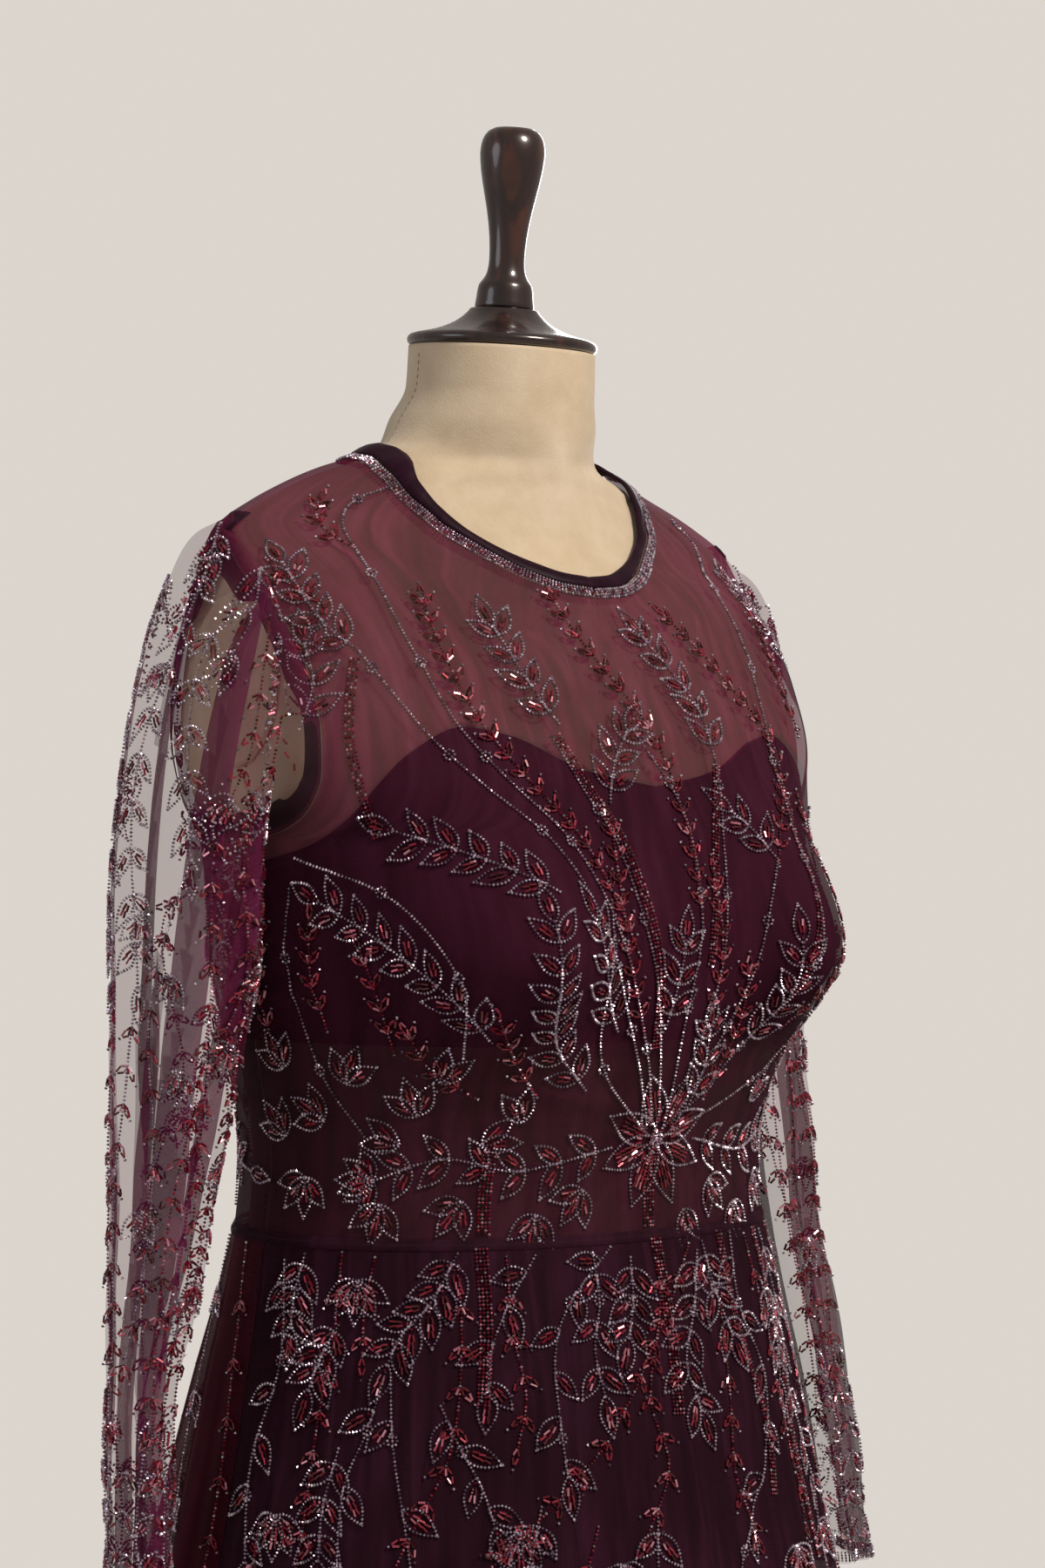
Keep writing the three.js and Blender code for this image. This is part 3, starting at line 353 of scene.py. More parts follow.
# %% [markdown]
# Every finish is a small tree of nodes. One helper adds a node with its settings and its links,
# and one turns the colour that a painter would name in hex into the linear numbers Blender uses.

# %% Helpers for the finishes
def linear(hex_colour):
    channels = [int(hex_colour[i:i + 2], 16) / 255 for i in (1, 3, 5)]
    made = [c / 12.92 if c <= 0.04045 else ((c + 0.055) / 1.055) ** 2.4 for c in channels]
    return (*made, 1.0)


def add_node(tree, kind, settings=None, values=None, links=None):
    node = tree.nodes.new(kind)
    for name, value in (settings or {}).items():
        setattr(node, name, value)
    for name, value in (values or {}).items():
        node.inputs[name].default_value = value
    for name, socket in (links or {}).items():
        tree.links.new(socket, node.inputs[name])
    return node


def new_finish(name, values):
    """A finish with these values on its shader, and its tree and shader for more nodes."""
    material = bpy.data.materials.new(name)
    material.use_nodes = True
    tree = material.node_tree
    shader = tree.nodes["Principled BSDF"]
    for key, value in values.items():
        shader.inputs[key].default_value = value
    return material, tree, shader


def object_place(tree):
    return add_node(tree, "ShaderNodeTexCoord").outputs["Object"]


def noise(tree, place, values):
    return add_node(tree, "ShaderNodeTexNoise", values=values,
                    links={"Vector": place}).outputs["Fac"]


def add_relief(tree, shader, height, strength, distance):
    relief = add_node(tree, "ShaderNodeBump", values={"Strength": strength, "Distance": distance},
                      links={"Height": height})
    tree.links.new(relief.outputs["Normal"], shader.inputs["Normal"])


def colour_ramp(tree, factor, stops):
    ramp = add_node(tree, "ShaderNodeValToRGB", links={"Fac": factor})
    elements, stops = ramp.color_ramp.elements, list(stops)
    while len(elements) < len(stops):
        elements.new(0.5)
    for element, (place, colour) in zip(elements, stops):
        element.position = place
        element.color = linear(colour)
    return ramp.outputs["Color"]


SHEEN_COLOUR = "#A04A78"
WEAVE_SCALE = 160  # for cloth of 1 mm thread: each wave is one thread and one gap
TONE_STOPS = (0.36, 0.5, 0.64)


def colour_by(tree, shader, factor, stops):
    """Colour a finish by a factor that runs from 0 to 1."""
    tree.links.new(colour_ramp(tree, factor, stops), shader.inputs["Base Color"])


def woven_cloth(name, dark, mid, light, thread_mm, sheen, roughness=0.8, alpha=1.0, bump=0.25,
                over_lining=None):
    """A plain woven or netted cloth: threads along its UV map, with a slow drift of colour and
    faint streaks of painted shade, which stand in for small wrinkles where it is pulled. Where a
    cloth carries an over_lining value, it takes the three colours given for that instead."""
    material, tree, shader = new_finish(name, {
        "Roughness": roughness, "Alpha": alpha, "Sheen Weight": sheen, "Sheen Roughness": 0.4,
        "Sheen Tint": linear(SHEEN_COLOUR), "Specular IOR Level": 0.08})
    uv = add_node(tree, "ShaderNodeUVMap", {"uv_map": "cloth"}).outputs["UV"]
    drift = noise(tree, object_place(tree), {"Scale": 9.0, "Detail": 4.0, "Roughness": 0.6})
    # The streaks are painted shade: a noise stretched along the cloth darkens it in thin lines
    # where small wrinkles would shade it.
    along = add_node(tree, "ShaderNodeMapping", links={"Vector": uv},
                     values={"Scale": (85, 11, 1), "Rotation": (0, 0, 0.25)})
    painted_wrinkle_shade = noise(tree, along.outputs["Vector"],
                    {"Scale": 1.0, "Detail": 3.0, "Distortion": 0.8})
    tone_and_painted_light = add_node(tree, "ShaderNodeMix", values={"Factor": 0.55},
                    links={"A": drift, "B": painted_wrinkle_shade}).outputs[0]
    colour = colour_ramp(tree, tone_and_painted_light, zip(TONE_STOPS, (dark, mid, light)))
    if over_lining:
        share = add_node(tree, "ShaderNodeAttribute", {"attribute_name": "over_lining"})
        second = colour_ramp(tree, tone_and_painted_light, zip(TONE_STOPS, over_lining))
        both = add_node(tree, "ShaderNodeMixRGB",
                        links={"Fac": share.outputs["Fac"], "Color1": colour, "Color2": second})
        colour = both.outputs["Color"]
    tree.links.new(colour, shader.inputs["Base Color"])
    weave = add_node(tree, "ShaderNodeMath", {"operation": "MAXIMUM"})
    for i, direction in enumerate("XY"):
        wave = add_node(tree, "ShaderNodeTexWave", {"bands_direction": direction},
                        {"Scale": WEAVE_SCALE / thread_mm, "Distortion": 0.4, "Detail": 0.0},
                        {"Vector": uv})
        tree.links.new(wave.outputs["Fac"], weave.inputs[i])
    add_relief(tree, shader, weave.outputs[0], bump, 0.0003)
    return material


# %% [markdown]
# The cloths of the gown, each by three tones of its colour, its thread in millimetres, its sheen,
# its roughness and how much it hides. Net is so open that one layer over the pale form still lets
# it through, and two layers or the lining below turn it deep plum. Its holes are under a
# millimetre, finer than the picture shows, so each layer is partly see-through as a whole.

# %% Nylon net, crepe lining and satin binding
yoke_net = woven_cloth("nylon net over the form", "#470F27", "#5C1634", "#702744", 1.1, 0.03,
                       alpha=0.75, over_lining=("#340F20", "#3F1428", "#4A1D32"))
# The midriff net's dark colour is partly a second layer of net and partly painted shade.
doubled_net_with_painted_shade = woven_cloth("doubled nylon net, darkened as painted shade", "#2C0B1B", "#381022", "#45182D", 1.1, 0.03,
                          alpha=0.88)
sleeve_net = woven_cloth("single nylon net of the sleeves", "#6C2042", "#7F2A50", "#933760", 1.1,
                         0.0, 0.85, 0.24)
folded_net = woven_cloth("nylon net gathered into a fold", "#541835", "#662045", "#7A2C54", 1.1,
                         0.0, 0.85, 0.56)
skirt_net = woven_cloth("nylon net of the skirt", "#220B17", "#2C101E", "#3A182B", 1.1, 0.04,
                        alpha=0.84)
plain_net = woven_cloth("plain burgundy net of the skirt back", "#350818", "#420C1E", "#521629",
                        1.1, 0.05, 0.75, 0.86)
lining_crepe = woven_cloth("polyester crepe lining", "#15060F", "#1B0915", "#250E1D", 0.8, 0.03)
skirt_crepe = woven_cloth("burgundy crepe skirt lining", "#240812", "#2D0B17", "#381220", 0.8,
                          0.08, 0.7)
neck_satin = woven_cloth("polyester satin binding", "#1A0712", "#230B1A", "#301224", 0.6, 0.06,
                         0.42, bump=0.12)
seam_net = woven_cloth("turned net of the armhole seam", "#1C0914", "#260D1C", "#321526", 1.1,
                       0.06, 0.75, 0.9)
print("cloths:", len(bpy.data.materials))

# %% [markdown]
# The bodice is cut as one front and two backs of net. The net is rose where only the form lies
# under it and darker over the lining, which the over_lining value of each point says. Below the
# lining, at the midriff, it is doubled, and its colour there is darker partly for the second
# layer and partly as painted shade.

# %% The bodice
SEAM_SHARE = 0.0003
LINING_BOTTOM = 1142
# The sweetheart top edge of the lining, as its height at each angle to either side of the front
LINING_TOP = table("angle height", [
    (0, 1272), (12, 1280), (24, 1297), (32, 1301), (42, 1290), (60, 1257), (74, 1240),
    (90, 1232), (130, 1218), (180, 1208),
])


MIDRIFF_TOP = LINING_BOTTOM + 6


def lining_top(angle):
    return smooth_value(LINING_TOP, "angle", "height", np.abs(within_half_turn(angle)))


edge_share = 1 - SEAM_SHARE
for node, place, first, last, columns in (
        ("bodice_front", front_place, -edge_share, edge_share, 181),
        ("bodice_back_left", back_place, edge_share, SEAM_SHARE, 91),
        ("bodice_back_right", back_place, -SEAM_SHARE, -edge_share, 91)):
    across, row = np.meshgrid(np.linspace(first, last, columns), np.linspace(0, TOP_ROW, 201))
    angle, height = place(across, row)
    piece = grid_sheet(f"net_{node}", bodice_point(angle, height))
    top = lining_top(angle)
    over = piece.data.attributes.new("over_lining", "FLOAT", "POINT")
    over.data.foreach_set("value", smooth_step(top - height, -1, 1).ravel().astype(np.float32))
    finish_piece(piece, yoke_net, node)
    piece.data.materials.append(doubled_net_with_painted_shade)
    # Faces below the midriff's top take the doubled net, whose darker colour is partly painted
    # shade.
    for polygon in piece.data.polygons:
        polygon.material_index = int(polygon.center.z < MIDRIFF_TOP * MM)
    print_area(piece)

# %% [markdown]
# The lining is opaque crepe with a sweetheart top edge. It is what makes the bust look dark and
# the yoke pale. Its top edge is turned and stitched, so it is a little thicker there.

# %% The bust lining
LINING_EASE = 1.2
CREPE_HALF = 0.6  # half the thickness of the crepe
TURNED_EDGE = 0.5


def lining_point(angle, down_from_top, lift=0.0):
    turned = TURNED_EDGE * smooth_step(down_from_top, 9, 6)
    return over_form(angle, lining_top(angle) - down_from_top,
                     LINING_EASE + CREPE_HALF + turned + lift)


for node, first, last in (("bust_lining_front", -89.8, 89.8),
                          ("bust_lining_back_left", 90.2, 179.9),
                          ("bust_lining_back_right", -179.9, -90.2)):
    angle, share = np.meshgrid(np.linspace(first, last, 141), np.linspace(1, 0, 81) ** 1.4)
    grid = lining_point(angle, share * (lining_top(angle) - LINING_BOTTOM))
    piece = grid_sheet(f"crepe_{node}", grid)
    finish_piece(piece, lining_crepe, node)
    print_area(piece)

# %% [markdown]
# The sleeves are limp tubes of single net. Where a tube is empty its cloth folds over on itself,
# and three layers read as a dark stripe. A pleat here slides the cloth sideways round the tube
# until it doubles back, and moves the layers apart so that they never cross.

# %% The sleeves
RING = "x y height across depth tilt fold"
RIGHT_SLEEVE = table(RING, [
    (181, 9, 1324, 83, 58, 88, 0.4), (189, 9, 1299, 84, 57, 84, 1.4),
    (197, 8, 1260, 68, 55, 73, 2.8), (203, 7, 1214, 52, 53, 59, 3.6),
    (207, 8, 1168, 38, 47, 45, 4), (209, 13, 1120, 28, 39, 31, 4),
    (212, 16, 1072, 22, 34, 20, 4), (218, 13, 1024, 18, 29, 12, 3.6),
    (224, 13, 978, 14.5, 24, 7, 3.2), (228, 11, 934, 12.5, 21, 3, 2.8),
    (228, 10, 894, 12.5, 21, 1, 2.6), (228, 10, 858, 13, 22, 0, 2.4),
    (228, 10, 826, 14, 22, 0, 2.2),
])
LEFT_SLEEVE = table(RING, [
    (180, 14, 1322, 81, 46, 88, 0.4), (186, 17, 1297, 81, 42, 84, 1.2),
    (193, 18, 1258, 65, 43, 75, 2.2), (197, 18, 1214, 49, 44, 61, 3),
    (197, 20, 1168, 36.5, 43, 46, 3.8), (198, 20, 1120, 29, 41, 31, 4.2),
    (201, 17, 1072, 26, 39, 20, 4.4), (206, 12, 1024, 23, 36, 12, 4.4),
    (213, 6, 978, 21, 34, 7, 4.2), (222, 1, 934, 19.5, 32, 3, 4),
    (230, -1, 894, 18.5, 30, 1, 3.8), (236, -3, 858, 18, 28, 0, 3.6),
    (240, -4, 826, 18.5, 28, 0, 3.2),
])
LAST_RING = 12
SEAM_STAND, SEAM_STAND_MORE = 0.8, 0.5  # beside the bodice's edge: at the top, and more below
SLEEVE_FOLD_COUNT = 5
SLEEVE_PHASE = {"right": 0.9, "left": 2.1}
# Pleats of each sleeve: where they lie round the tube, how they drift from ring to ring, half
# their width in millimetres, how far they slide, the ring they begin at, and how far they stand
PLEAT = "turn drift half_width slide from_row out"
SLEEVE_PLEATS = {
    "right": table(PLEAT, [
        (0.98, -0.015, 17, 1.1, -0.9, 2.4), (2, -0.05, 12, 1.05, 0.4, 2),
        (0.15, 0.03, 8, 1, -0.8, 1.8), (4.1, 0.02, 9, 1, 2.2, 1.8), (5.2, 0.02, 8, 1, 0, 1.6)]),
    "left": table(PLEAT, [
        (0.35, 0.02, 10, 1.1, 1, 2.2), (5.2, -0.02, 8, 1, 3, 1.6), (2.3, 0.03, 9, 1.05, 0, 1.8),
        (1.3, 0.02, 7, 1, -0.6, 1.8)]),
}


def armhole_point(turn):
    point = bodice_point(*armhole_place(turn))
    down = (SHOULDER_END_HEIGHT - point[..., 2]) / (SHOULDER_END_HEIGHT - UNDERARM_HEIGHT)
    point[..., 0] += SEAM_STAND + SEAM_STAND_MORE * down
    return point


def sleeve_rings(side, row):
    rings = RIGHT_SLEEVE if side == "right" else LEFT_SLEEVE
    ring = np.clip(row, 0, LAST_RING)
    return {name: smooth_value(rings, "row", name, ring) for name in rings if name != "row"}


def pleated(side, turn, row, rings, over=False):
    """How far round each thread slides, how far it stands out, and whether it is in a fold. What
    lies over the folds doesn't slide into them: it only stands out by as much as they do."""
    slid, stand = turn.copy(), np.zeros_like(turn)
    folded = np.zeros(turn.shape, bool)
    for p in each(SLEEVE_PLEATS[side]):
        begin = smooth_step(row, p["from_row"], p["from_row"] + 2.5)
        away = (turn - p["turn"] - p["drift"] * row + math.pi) % (2 * math.pi) - math.pi
        half = 2 * p["half_width"] / (rings["across"] + rings["depth"])
        s = np.clip(away / half, -1, 1)
        if over:
            stand = stand + begin * p["out"] * (1 - s ** 4)
        else:
            slid = slid - begin * p["slide"] * half * np.sin(math.pi * s)
            stand = stand - begin * p["out"] * np.sin(math.pi * s)
        folded |= (np.abs(s) < 0.8) & (begin > 0.3)
    return slid, stand, folded


def sleeve_point(side, turn, row, lift=0.0, over=False):
    """A point of a sleeve: turn goes round the tube from its top, row runs from -1 at the armhole
    seam to LAST_RING at the cuff."""
    turn, row = np.broadcast_arrays(np.asarray(turn, float), np.asarray(row, float))
    rings = sleeve_rings(side, row)
    slid, stand, _ = pleated(side, turn, row, rings, over)
    wave = rings["fold"] * np.cos(SLEEVE_FOLD_COUNT * slid + SLEEVE_PHASE[side])
    fine = 0.7 * np.sin(9 * slid + 0.9 * row) * smooth_step(row, 0.5, 3)
    pucker = 0.9 * np.sin(3.1 * row + 2 * slid) * smooth_step(row, 3, 6)
    tilt = np.radians(rings["tilt"])
    reach = wave + fine + pucker + stand + lift - NET_HALF
    across = (rings["across"] + reach) * np.cos(slid)
    point = np.stack([
        rings["x"] + np.cos(tilt) * across,
        rings["y"] - (rings["depth"] + reach) * np.sin(slid),
        rings["height"] + np.sin(tilt) * across,
    ], -1)
    head = np.clip(row + 1, 0, 1)[..., None]
    point = np.where(head < 1, armhole_point(turn) * (1 - head) + point * head, point)
    if side == "right":
        point[..., 0] *= -1
    return point


for side in ("right", "left"):
    turn, row = np.meshgrid(np.linspace(0, 2 * math.pi, 280, endpoint=False),
                            np.linspace(-1, LAST_RING, 180))
    grid = sleeve_point(side, turn, row)
    _, _, folded = pleated(side, turn, row, sleeve_rings(side, row))
    if side == "right":
        grid, folded = grid[:, ::-1], folded[:, ::-1]
    piece = grid_sheet(f"net_sleeve_{side}", grid, closed=True)
    finish_piece(piece, sleeve_net, f"sleeve_{side}")
    piece.data.materials.append(folded_net)
    piece.data.polygons.foreach_set("material_index", folded[:-1].ravel().astype(np.int32))
    print_area(piece)

# %% [markdown]
# The skirt hangs from the waist seam in three flared panels. Its big folds are those of the
# solids. Smaller ripples ride on them, because net is light and never hangs perfectly straight.

# %% The skirt
SKIRT_SECTIONS = table("height side front back folds", [
    (12, 405, 372, 410, 1), (130, 366, 330, 366, 0.92), (260, 328, 292, 326, 0.82),
    (400, 290, 255, 288, 0.7), (540, 256, 222, 252, 0.55), (680, 224, 191, 218, 0.38),
    (790, 201, 169, 194, 0.24), (860, 187, 155, 176, 0.14), (915, 177, 145, 161, 0.08),
    (960, 169, 137, 146, 0.04), (1005, 161, 127, 127, 0.015), (1040, 155.8, 117.8, 111.8, 0),
])
SKIRT_POWER = 2.1
SKIRT_FOLDS = table("angle width out", [
    (4, 9, 24), (27, 7, 30), (50, 8, 26), (72, 6.5, 34), (97, 8, 30), (121, 7, 36),
    (146, 8, 28), (169, 7, 34), (193, 8, 30), (216, 7, 36), (238, 7.5, 28), (259, 6, 36),
    (281, 7, 26), (304, 8, 32), (332, 7.5, 26),
])
HEM_HEIGHT = 12
SKIRT_LINING_HEM, SKIRT_LINING_TOP = 30, 1038
LINING_INSET, LINING_HANG = 1.5, 9  # how far inside the net at the waist, and how much more below


def skirt_point(angle, height, lift=0.0, inset=-NET_HALF, folded=True):
    angle, height = np.broadcast_arrays(np.asarray(angle, float), np.asarray(height, float))

    def read(column):
        return smooth_value(SKIRT_SECTIONS, "height", column, height)

    fold = sum(f["out"] * bell(within_half_turn(angle - f["angle"]), f["width"])
               for f in each(SKIRT_FOLDS))
    small = (2.2 * np.sin(np.radians(41 * angle) + height / 160)
             + 1.4 * np.sin(np.radians(67 * angle) - height / 110))
    hang = read("folds")
    ripple = small * (0.9 * smooth_step(height, 1036, 930) * (0.25 + hang))
    wide = (fold * hang + ripple if folded else 0) - inset + lift
    depth = np.where(np.cos(np.radians(angle)) > 0, read("front"), read("back"))
    x, y = oval_point(angle, read("side") + wide, depth + wide, SKIRT_POWER, SKIRT_POWER)
    return np.stack([x, y, height], -1)


skirt_heights = np.concatenate([np.linspace(HEM_HEIGHT, 700, 70),
                                np.linspace(706, WAIST_SEAM_HEIGHT - 0.2, 90)])
for node, first, last, columns in (("skirt_front", -89.9, 89.9, 361),
                                   ("skirt_back_left", 90.1, 179.9, 181),
                                   ("skirt_back_right", -179.9, -90.1, 181)):
    angle, height = np.meshgrid(np.linspace(first, last, columns), skirt_heights)
    piece = grid_sheet(f"net_{node}", skirt_point(angle, height))
    finish_piece(piece, skirt_net if node == "skirt_front" else plain_net, node)
    print_area(piece)

for node, first, last in (("skirt_lining_front", -89.9, 89.9),
                          ("skirt_lining_back", 90.1, 269.9)):
    angle, height = np.meshgrid(np.linspace(first, last, 181),
                                np.linspace(SKIRT_LINING_HEM, SKIRT_LINING_TOP, 80))
    flare = (WAIST_SEAM_HEIGHT - height) / WAIST_SEAM_HEIGHT
    inset = LINING_INSET + LINING_HANG * np.minimum(1, flare * 4)
    piece = grid_sheet(f"crepe_{node}", skirt_point(angle, height, inset=inset, folded=False))
    finish_piece(piece, skirt_crepe, node)
    print_area(piece)

# %% [markdown]
# The dress form is a padded torso covered with brushed suede cloth, limbless, with a short neck.
# Its neck shows inside the neckline: there the suede has a stitched side seam and a few pulls.

# %% The torso of the form
FORM_CREASES = table("angle height run length width out", [
    (-40, 1432, 24, 16, 3, 1), (-52, 1428, -10, 14, 3, 0.9), (-28, 1418, 34, 16, 3, 0.8),
    (30, 1424, -30, 16, 3, 0.8), (50, 1434, -16, 14, 3, 0.9), (-80, 1452, 60, 14, 3, 0.9),
    (84, 1452, -60, 14, 3, 0.8), (140, 1446, 20, 16, 3, 0.8), (-146, 1448, -24, 16, 3, 0.8),
    (6, 1440, 70, 12, 3, 0.6), (176, 1456, 80, 12, 3, 0.6),
])
TORSO_ROWS = np.concatenate([np.linspace(FORM_BOTTOM, 1400, 90),
                             np.linspace(1403, NECK_TOP_HEIGHT, 60)])


def torso_point(angle, height, lift=0.0):
    pull = crease_height(FORM_CREASES, angle, height) * smooth_step(height, 1508, 1490)
    return form_point(angle, height) + form_normal(angle, height) * (pull + lift)[..., None]


angle, height = np.meshgrid(np.linspace(-180, 180, 192, endpoint=False), TORSO_ROWS)
torso = grid_sheet("suede_torso", torso_point(angle, height), closed=True)
shape = bmesh.new()
shape.from_mesh(torso.data)
shape.verts.ensure_lookup_table()
bmesh.ops.holes_fill(shape, edges=[e for e in shape.edges if e.is_boundary], sides=0)
bmesh.ops.recalc_face_normals(shape, faces=shape.faces)
shape.to_mesh(torso.data)
shape.free()

suede, tree, shader = new_finish("brushed beige suede cloth", {
    "Roughness": 0.95, "Sheen Weight": 0.35, "Specular IOR Level": 0.15})
place = object_place(tree)
cloudy = noise(tree, place, {"Scale": 26.0, "Detail": 6.0, "Roughness": 0.65})
colour_by(tree, shader, cloudy, [(0.28, "#CBB799"), (0.5, "#D7C4A8"), (0.74, "#E1D1BA")])
add_relief(tree, shader, noise(tree, place, {"Scale": 900.0, "Detail": 3.0}), 0.35, 0.0006)
finish_piece(torso, suede, "form_torso")
print("torso faces:", len(torso.data.polygons))

# %% [markdown]
# The cap and the finial are turned from one dark hardwood blank on a lathe and varnished. A
# profile spun round the axis is just what a lathe makes.

# %% The turned cap and finial
CAP_PROFILE = [(0, 0), (48.6, 0), (50.6, 0.5), (51.8, 1.7), (52.2, 3.4), (51.8, 4.8), (50.6, 6),
               (48, 6.9), (44, 7.8), (38, 9.4), (33.6, 11), (30, 12.6), (26.6, 14.4),
               (23.6, 16.6), (21.2, 18.8), (19.5, 20.6), (18.9, 21.6), (18.4, 22), (0, 22)]
FINIAL_PROFILE = [(0, 0), (15.4, 0), (16, 0.5), (16.2, 1.6), (15.9, 3.6), (15.6, 6), (15.3, 9),
                  (14.9, 11.6), (14.4, 13.2), (13.3, 14.7), (12.2, 16.2), (11.2, 18),
                  (10.4, 20.4), (9.9, 23.4), (9.7, 27), (9.8, 32), (10.3, 39), (11.2, 46),
                  (12.6, 54), (14.1, 61), (15.6, 68), (16.8, 74.5), (17.5, 80), (17.8, 84),
                  (17.5, 88), (16.8, 91.2), (15.6, 93.8), (13.8, 96), (11, 97.6), (7, 98.3),
                  (0, 98.4)]
NECK_TOP_Z = NECK_TOP_HEIGHT + NECK_TOP_Y * math.tan(NECK_LEAN)
CAP_LIFT, FINIAL_LIFT = 0.3, 22.6
ON_NECK = (Matrix.Translation((0, NECK_TOP_Y * MM, NECK_TOP_Z * MM))
           @ Matrix.Rotation(NECK_LEAN, 4, "X"))


def raised(lift):
    return Matrix.Translation((0, 0, lift * MM))


def turned(name, profile, place, node, material):
    """A piece spun from its profile of (radius, height) round +Z, and then put in its place."""
    points = np.array([(radius, 0, height) for radius, height in profile])
    piece = new_piece(name, points, [], [(i, i + 1) for i in range(len(points) - 1)])
    bpy.ops.object.select_all(action="DESELECT")
    bpy.context.view_layer.objects.active = piece
    piece.select_set(True)
    bpy.ops.object.mode_set(mode="EDIT")
    bpy.ops.mesh.select_all(action="SELECT")
    bpy.ops.mesh.spin(steps=96, angle=2 * math.pi, center=(0, 0, 0), axis=(0, 0, 1))
    bpy.ops.mesh.select_all(action="SELECT")
    bpy.ops.mesh.remove_doubles(threshold=0.00002)
    bpy.ops.mesh.normals_make_consistent(inside=False)
    bpy.ops.object.mode_set(mode="OBJECT")
    bpy.ops.object.shade_smooth_by_angle(angle=math.radians(50))
    piece.data.transform(place)
    return finish_piece(piece, material, node)


espresso, tree, shader = new_finish("varnished hardwood, stained espresso", {
    "Roughness": 0.3, "Coat Weight": 0.8, "Coat Roughness": 0.08})
stretched = add_node(tree, "ShaderNodeMapping", {"vector_type": "POINT"},
                     {"Scale": (90.0, 90.0, 12.0)}, {"Vector": object_place(tree)})
grain = noise(tree, stretched.outputs["Vector"], {"Scale": 1.0, "Detail": 6.0, "Distortion": 1.2})
colour_by(tree, shader, grain, [(0.3, "#160B09"), (0.52, "#2A1510"), (0.68, "#4A241A")])
turned("wood_neck_cap", CAP_PROFILE, ON_NECK @ raised(CAP_LIFT), "neck_cap", espresso)
finial = turned("wood_finial", FINIAL_PROFILE, ON_NECK @ raised(FINIAL_LIFT), "finial", espresso)
print("finial top, mm:", round(max(v.co.z for v in finial.data.vertices) / MM, 1))

# %% [markdown]
# The neckline is bound with a bias strip of satin, folded over the edge of the net: a soft
# rounded band that follows the neckline all the way round.

# %% The neck binding
def neck_place(share):
    """Round the neckline: share 0 is the centre front, 0.5 the centre back."""
    share = np.asarray(share, float) % 1
    turn = np.where(share < 0.5, share, share - 1) * 4
    in_front = np.abs(turn) <= 1
    front_angle, front_height = front_place(np.clip(turn, -1, 1), np.full_like(turn, TOP_ROW))
    across = np.clip(2 - np.abs(turn), 0, 1) * np.sign(turn)
    back_angle, back_height = back_place(across, np.full_like(turn, TOP_ROW))
    back_angle = np.where((across == 0) & (turn < 0), -180, back_angle)
    return (np.where(in_front, front_angle, back_angle),
            np.where(in_front, front_height, back_height))


BINDING_SECTION = [(0.5, 0.2), (0.6, 1.2), (1.4, 1.9), (3.6, 2.3), (5.6, 2), (6.7, 1.3), (7, 0.4),
                   (6.4, -0.1), (3.6, -0.2), (1, -0.1)]
BINDING_GAP = 3
share = np.linspace(0, 1, 300, endpoint=False)
neck_angle, neck_height = neck_place(share)
rings = [over_form(neck_angle, neck_height + rise, np.full_like(neck_angle, BINDING_GAP + out))
         for rise, out in BINDING_SECTION]
binding = grid_sheet("satin_neck_binding", np.stack(rings), closed=True)
finish_piece(binding, neck_satin, "neck_binding")
print("binding runs, mm:",
      round(float(np.linalg.norm(np.diff(rings[3], axis=0), axis=1).sum())))

# %% [markdown]
# The gown is worked all over with glass: silver-lined seed beads in lines and outlines, and short
# ruby bugle beads in the hearts of leaves and in sprigs. Each bead is sewn flat on the net, so
# each one here takes its place and its slant from the surface under it. A motif is drawn in plain
# millimetres, east and north of a point on the cloth, and then laid on the cloth all at once.

# %% Surfaces that beads are sewn to
# Each surface by its function, the steps that its directions are measured over, and which way out
SURFACES = {
    "bodice": (bodice_point, 0.3, 0.6, 1),
    "skirt": (skirt_point, 0.15, 1.0, 1),
    "sleeve_right": (lambda u, v, lift: sleeve_point("right", u, v, lift, True), 0.02, 0.03, -1),
    "sleeve_left": (lambda u, v, lift: sleeve_point("left", u, v, lift, True), 0.02, 0.03, 1),
}


def frame_at(surface, u, v):
    """East, north and outward directions of the cloth there, and how far one step goes."""
    point, du, dv, outward = SURFACES[surface]
    pu = (point(u + du, v, 0) - point(u - du, v, 0)) / (2 * du)
    pv = (point(u, v + dv, 0) - point(u, v - dv, 0)) / (2 * dv)
    stretch = np.maximum(np.linalg.norm(pu, axis=-1), 1e-6)
    east = pu / stretch[..., None]
    lean = (pv * east).sum(-1)
    rest = pv - lean[..., None] * east
    rise = np.maximum(np.linalg.norm(rest, axis=-1), 1e-6)
    out = unit(np.cross(pu, pv)) * outward
    return east, rest / rise[..., None], out, stretch, lean, rise


def moved(surface, u, v, east, north):
    """The place that lies so many millimetres east and north of (u, v) on the cloth."""
    _, _, _, stretch, lean, rise = frame_at(surface, u, v)
    dv = north / rise
    return u + (east - lean * dv) / stretch, v + dv


def heading_of(surface, u, v, du, dv):
    """Which way a step (du, dv) on the cloth goes, as an angle from east."""
    _, _, _, stretch, lean, rise = frame_at(surface, u, v)
    return np.arctan2(dv * rise, du * stretch + dv * lean)


def smooth_path(surface, knots):
    """Even steps along a smooth curve through the knots, with the heading at each step."""
    k = np.array([knots[0], *knots, knots[-1]], float)
    k[0], k[-1] = 2 * k[1] - k[2], 2 * k[-2] - k[-3]
    t = np.linspace(0, 1, 24, endpoint=False)[:, None]
    parts = [0.5 * (2 * b + (c - a) * t + (2 * a - 5 * b + 4 * c - d) * t ** 2
                    + (3 * b - a - 3 * c + d) * t ** 3)
             for a, b, c, d in zip(k, k[1:], k[2:], k[3:])]
    uv = np.concatenate([*parts, k[-2:-1]])
    run = run_of(SURFACES[surface][0](uv[:, 0], uv[:, 1], 0))
    at = np.arange(0, run[-1], SEED_PITCH)
    u, v = (np.interp(at, run, uv[:, i]) for i in (0, 1))
    return u, v, heading_of(surface, u, v, np.gradient(u), np.gradient(v))


